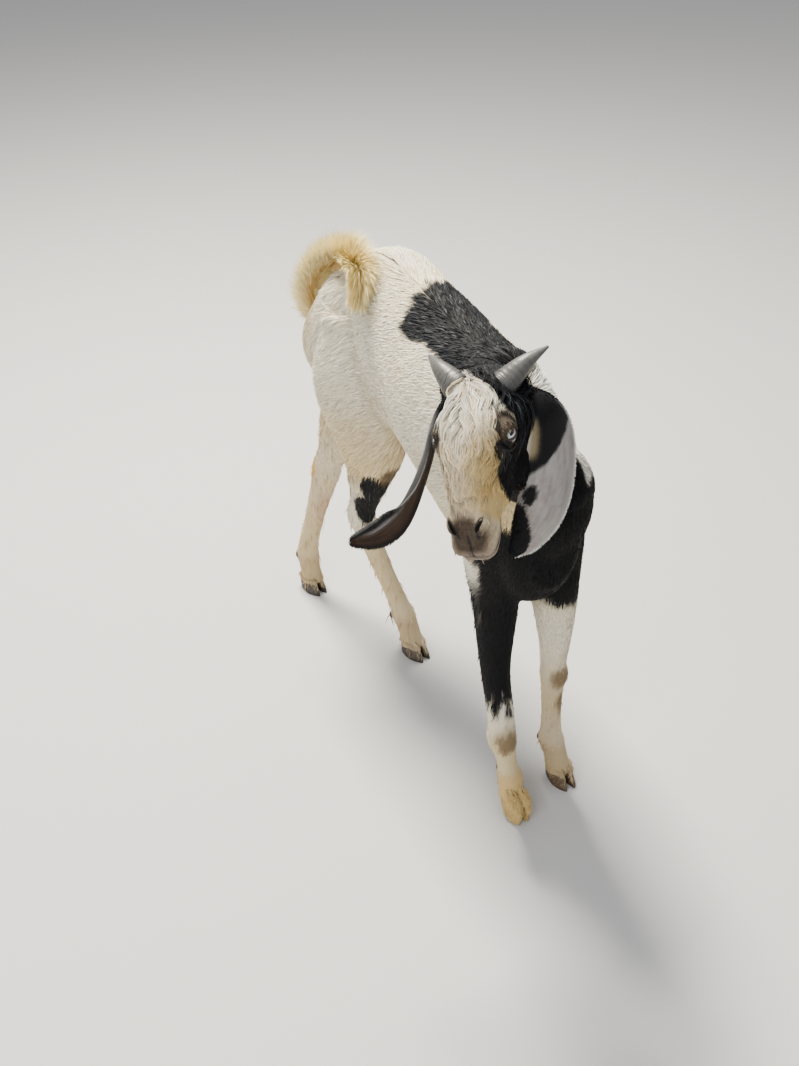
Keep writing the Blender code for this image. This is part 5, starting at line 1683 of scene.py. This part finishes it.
def hoof_fur(name, claws, look):
    """Short hair of the pastern that hangs over the top of the hoof."""
    low = -0.004 if name.endswith("front_right") else 0.009
    roots, normals = skin_samples(
        claws, PASTERN_TUFTS, lambda p: smooth_step(p[:, 2] - p[:, 2].min(), low, low + 0.012)
    )
    ways = laid(np.array((0.0, 0.0, -1.0)) + RNG.normal(0, 0.12, (len(roots), 3)), normals)
    flat = np.abs(normals[:, 2]) < 0.9
    roots, normals, ways = roots[flat], normals[flat], ways[flat]
    count = len(roots)
    tone = body_colour(roots) * RNG.normal(0.92, 0.1, count)[:, None]
    if low < 0:
        tone = mix(tone, GOLD * RNG.normal(1.02, 0.16, count)[:, None], 0.70)
    # The hairs are painted darker at the root: painted shade under the hair.
    made = tufts(
        roots, normals, ways, RNG.uniform(0.004, 0.010, count), np.full(count, 0.0010),
        np.full(count, 0.0014 if low < 0 else 0.0008), RNG.normal(0, 0.0005, count),
        tone * (0.55 if low < 0 else 0.72), tone, 2,
    )
    tuft_piece(name, [made], [unwrap(*unwrap_frame(roots))], look)


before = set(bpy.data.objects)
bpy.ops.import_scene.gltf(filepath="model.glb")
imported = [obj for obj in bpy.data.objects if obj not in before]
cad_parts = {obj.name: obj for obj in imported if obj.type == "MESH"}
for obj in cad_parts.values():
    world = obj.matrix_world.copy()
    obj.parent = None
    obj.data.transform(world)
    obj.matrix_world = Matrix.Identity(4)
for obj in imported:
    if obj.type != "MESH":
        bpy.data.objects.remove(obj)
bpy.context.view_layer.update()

skin = flesh()
points = points_of(skin)
set_points(skin, points - normals_of(skin) * coat_depth(points)[:, None])
facial_detail(skin)
openings(skin)
points = points_of(skin)
# The skin under the coat is painted a fifth darker than the hair's colour: painted shade under the
# coat.
colour_mesh(skin, body_colour(points) * 0.80)
unwrap_skin(skin)
skin_look = hair_material("skin_coat", 0.75, bump=0.9, scale=1400.0)
coat_look = hair_material("coat_hair", 0.62)
soft_look = hair_material("ear_skin", 0.60, bump=0.5, scale=1600.0)
dress(
    skin, skin_look, "coat", "torso", "neck", "head", "leg_front_left", "leg_front_right",
    "leg_hind_left", "leg_hind_right", "tail",
)

tree = BVHTree.FromPolygons(
    [Vector(p) for p in points], [tuple(p.vertices) for p in skin.data.polygons]
)
fur(skin, "coat_trunk", TRUNK_TUFTS, trunk_weight, trunk_size, coat_look)
fur(skin, "coat_legs", LEG_TUFTS, leg_weight, leg_size, coat_look, segments=2)
fur(skin, "coat_head", HEAD_TUFTS, head_weight, head_size, coat_look, segments=2)
face_hair(skin, tree, coat_look)
tail_hair(coat_look)

lid_look = plain_material("lid_skin", LID_GREY, 0.45, bump=0.5, scale=900.0)
for mirror in (1, -1):
    dress(lid_ring(mirror), lid_look, "coat")

ear("ear_left_skin", "ear_left", 1, EAR_LEFT, EAR_LEFT_FACES, soft_look, coat_look)
ear("ear_right_skin", "ear_right", -1, EAR_RIGHT, EAR_RIGHT_FACES, soft_look, coat_look)

horn_look = plain_material("horn_grey", None, 0.42, bump=0.35, scale=420.0)
horn("horn_left_shell", "horn_left", 1, horn_look)
horn("horn_right_shell", "horn_right", -1, horn_look)

eye_look = plain_material("eye_wet", None, 0.06, coat=1.0)
eye("eye_left_ball", "eye_left", 1, eye_look)
eye("eye_right_ball", "eye_right", -1, eye_look)

hoof_look = plain_material("hoof_horn", None, 0.50, bump=0.4, scale=260.0)
for key, (sole, toe, raised) in HOOVES.items():
    claws = hoof(f"hoof_{key}_claws", f"hoof_{key}", sole, toe, raised, hoof_look, HOOF_TONES[key])
    hoof_fur(f"coat_pastern_{key}", claws, coat_look)

floor_mesh = bmesh.new()
bmesh.ops.create_grid(floor_mesh, x_segments=1, y_segments=1, size=40.0)
floor = finish_mesh("floor", floor_mesh)
floor.data.materials.append(material("floor", (0.62, 0.61, 0.59), {"Roughness": 0.9}))

world = bpy.data.worlds.new("studio")
bpy.context.scene.world = world
world.use_nodes = True
world.node_tree.nodes["Background"].inputs["Color"].default_value = (0.93, 0.95, 1.0, 1)
world.node_tree.nodes["Background"].inputs["Strength"].default_value = 0.48


def lamp(name, place, target, size, power, colour):
    data = bpy.data.lights.new(name, "AREA")
    data.size = size
    data.energy = power
    data.color = colour
    obj = bpy.data.objects.new(name, data)
    obj.location = place
    way = Vector(target) - Vector(place)
    obj.rotation_euler = way.to_track_quat("-Z", "Y").to_euler()
    bpy.context.scene.collection.objects.link(obj)


lamp("key", (0.2, 1.2, 3.0), (0, 0, 0.45), 0.8, 190, (1.0, 0.95, 0.86))
lamp("fill", (-2.2, -1.4, 1.8), (0, 0, 0.45), 2.0, 42, (0.95, 0.97, 1.0))
bpy.context.scene.view_settings.look = "AgX - Medium High Contrast"

camera_data = bpy.data.cameras.new("camera")
camera = bpy.data.objects.new("camera", camera_data)
bpy.context.scene.collection.objects.link(camera)
camera.location = Vector((-0.84, -1.15, 1.333)) - ORIGIN
camera.rotation_mode = "QUATERNION"
camera.rotation_quaternion = Vector((0.4698, 0.6710, -0.5736)).to_track_quat("-Z", "Y")
camera_data.sensor_fit = "VERTICAL"
camera_data.sensor_height = 36.0
camera_data.lens = 18 * 1200 / 533
bpy.context.scene.camera = camera
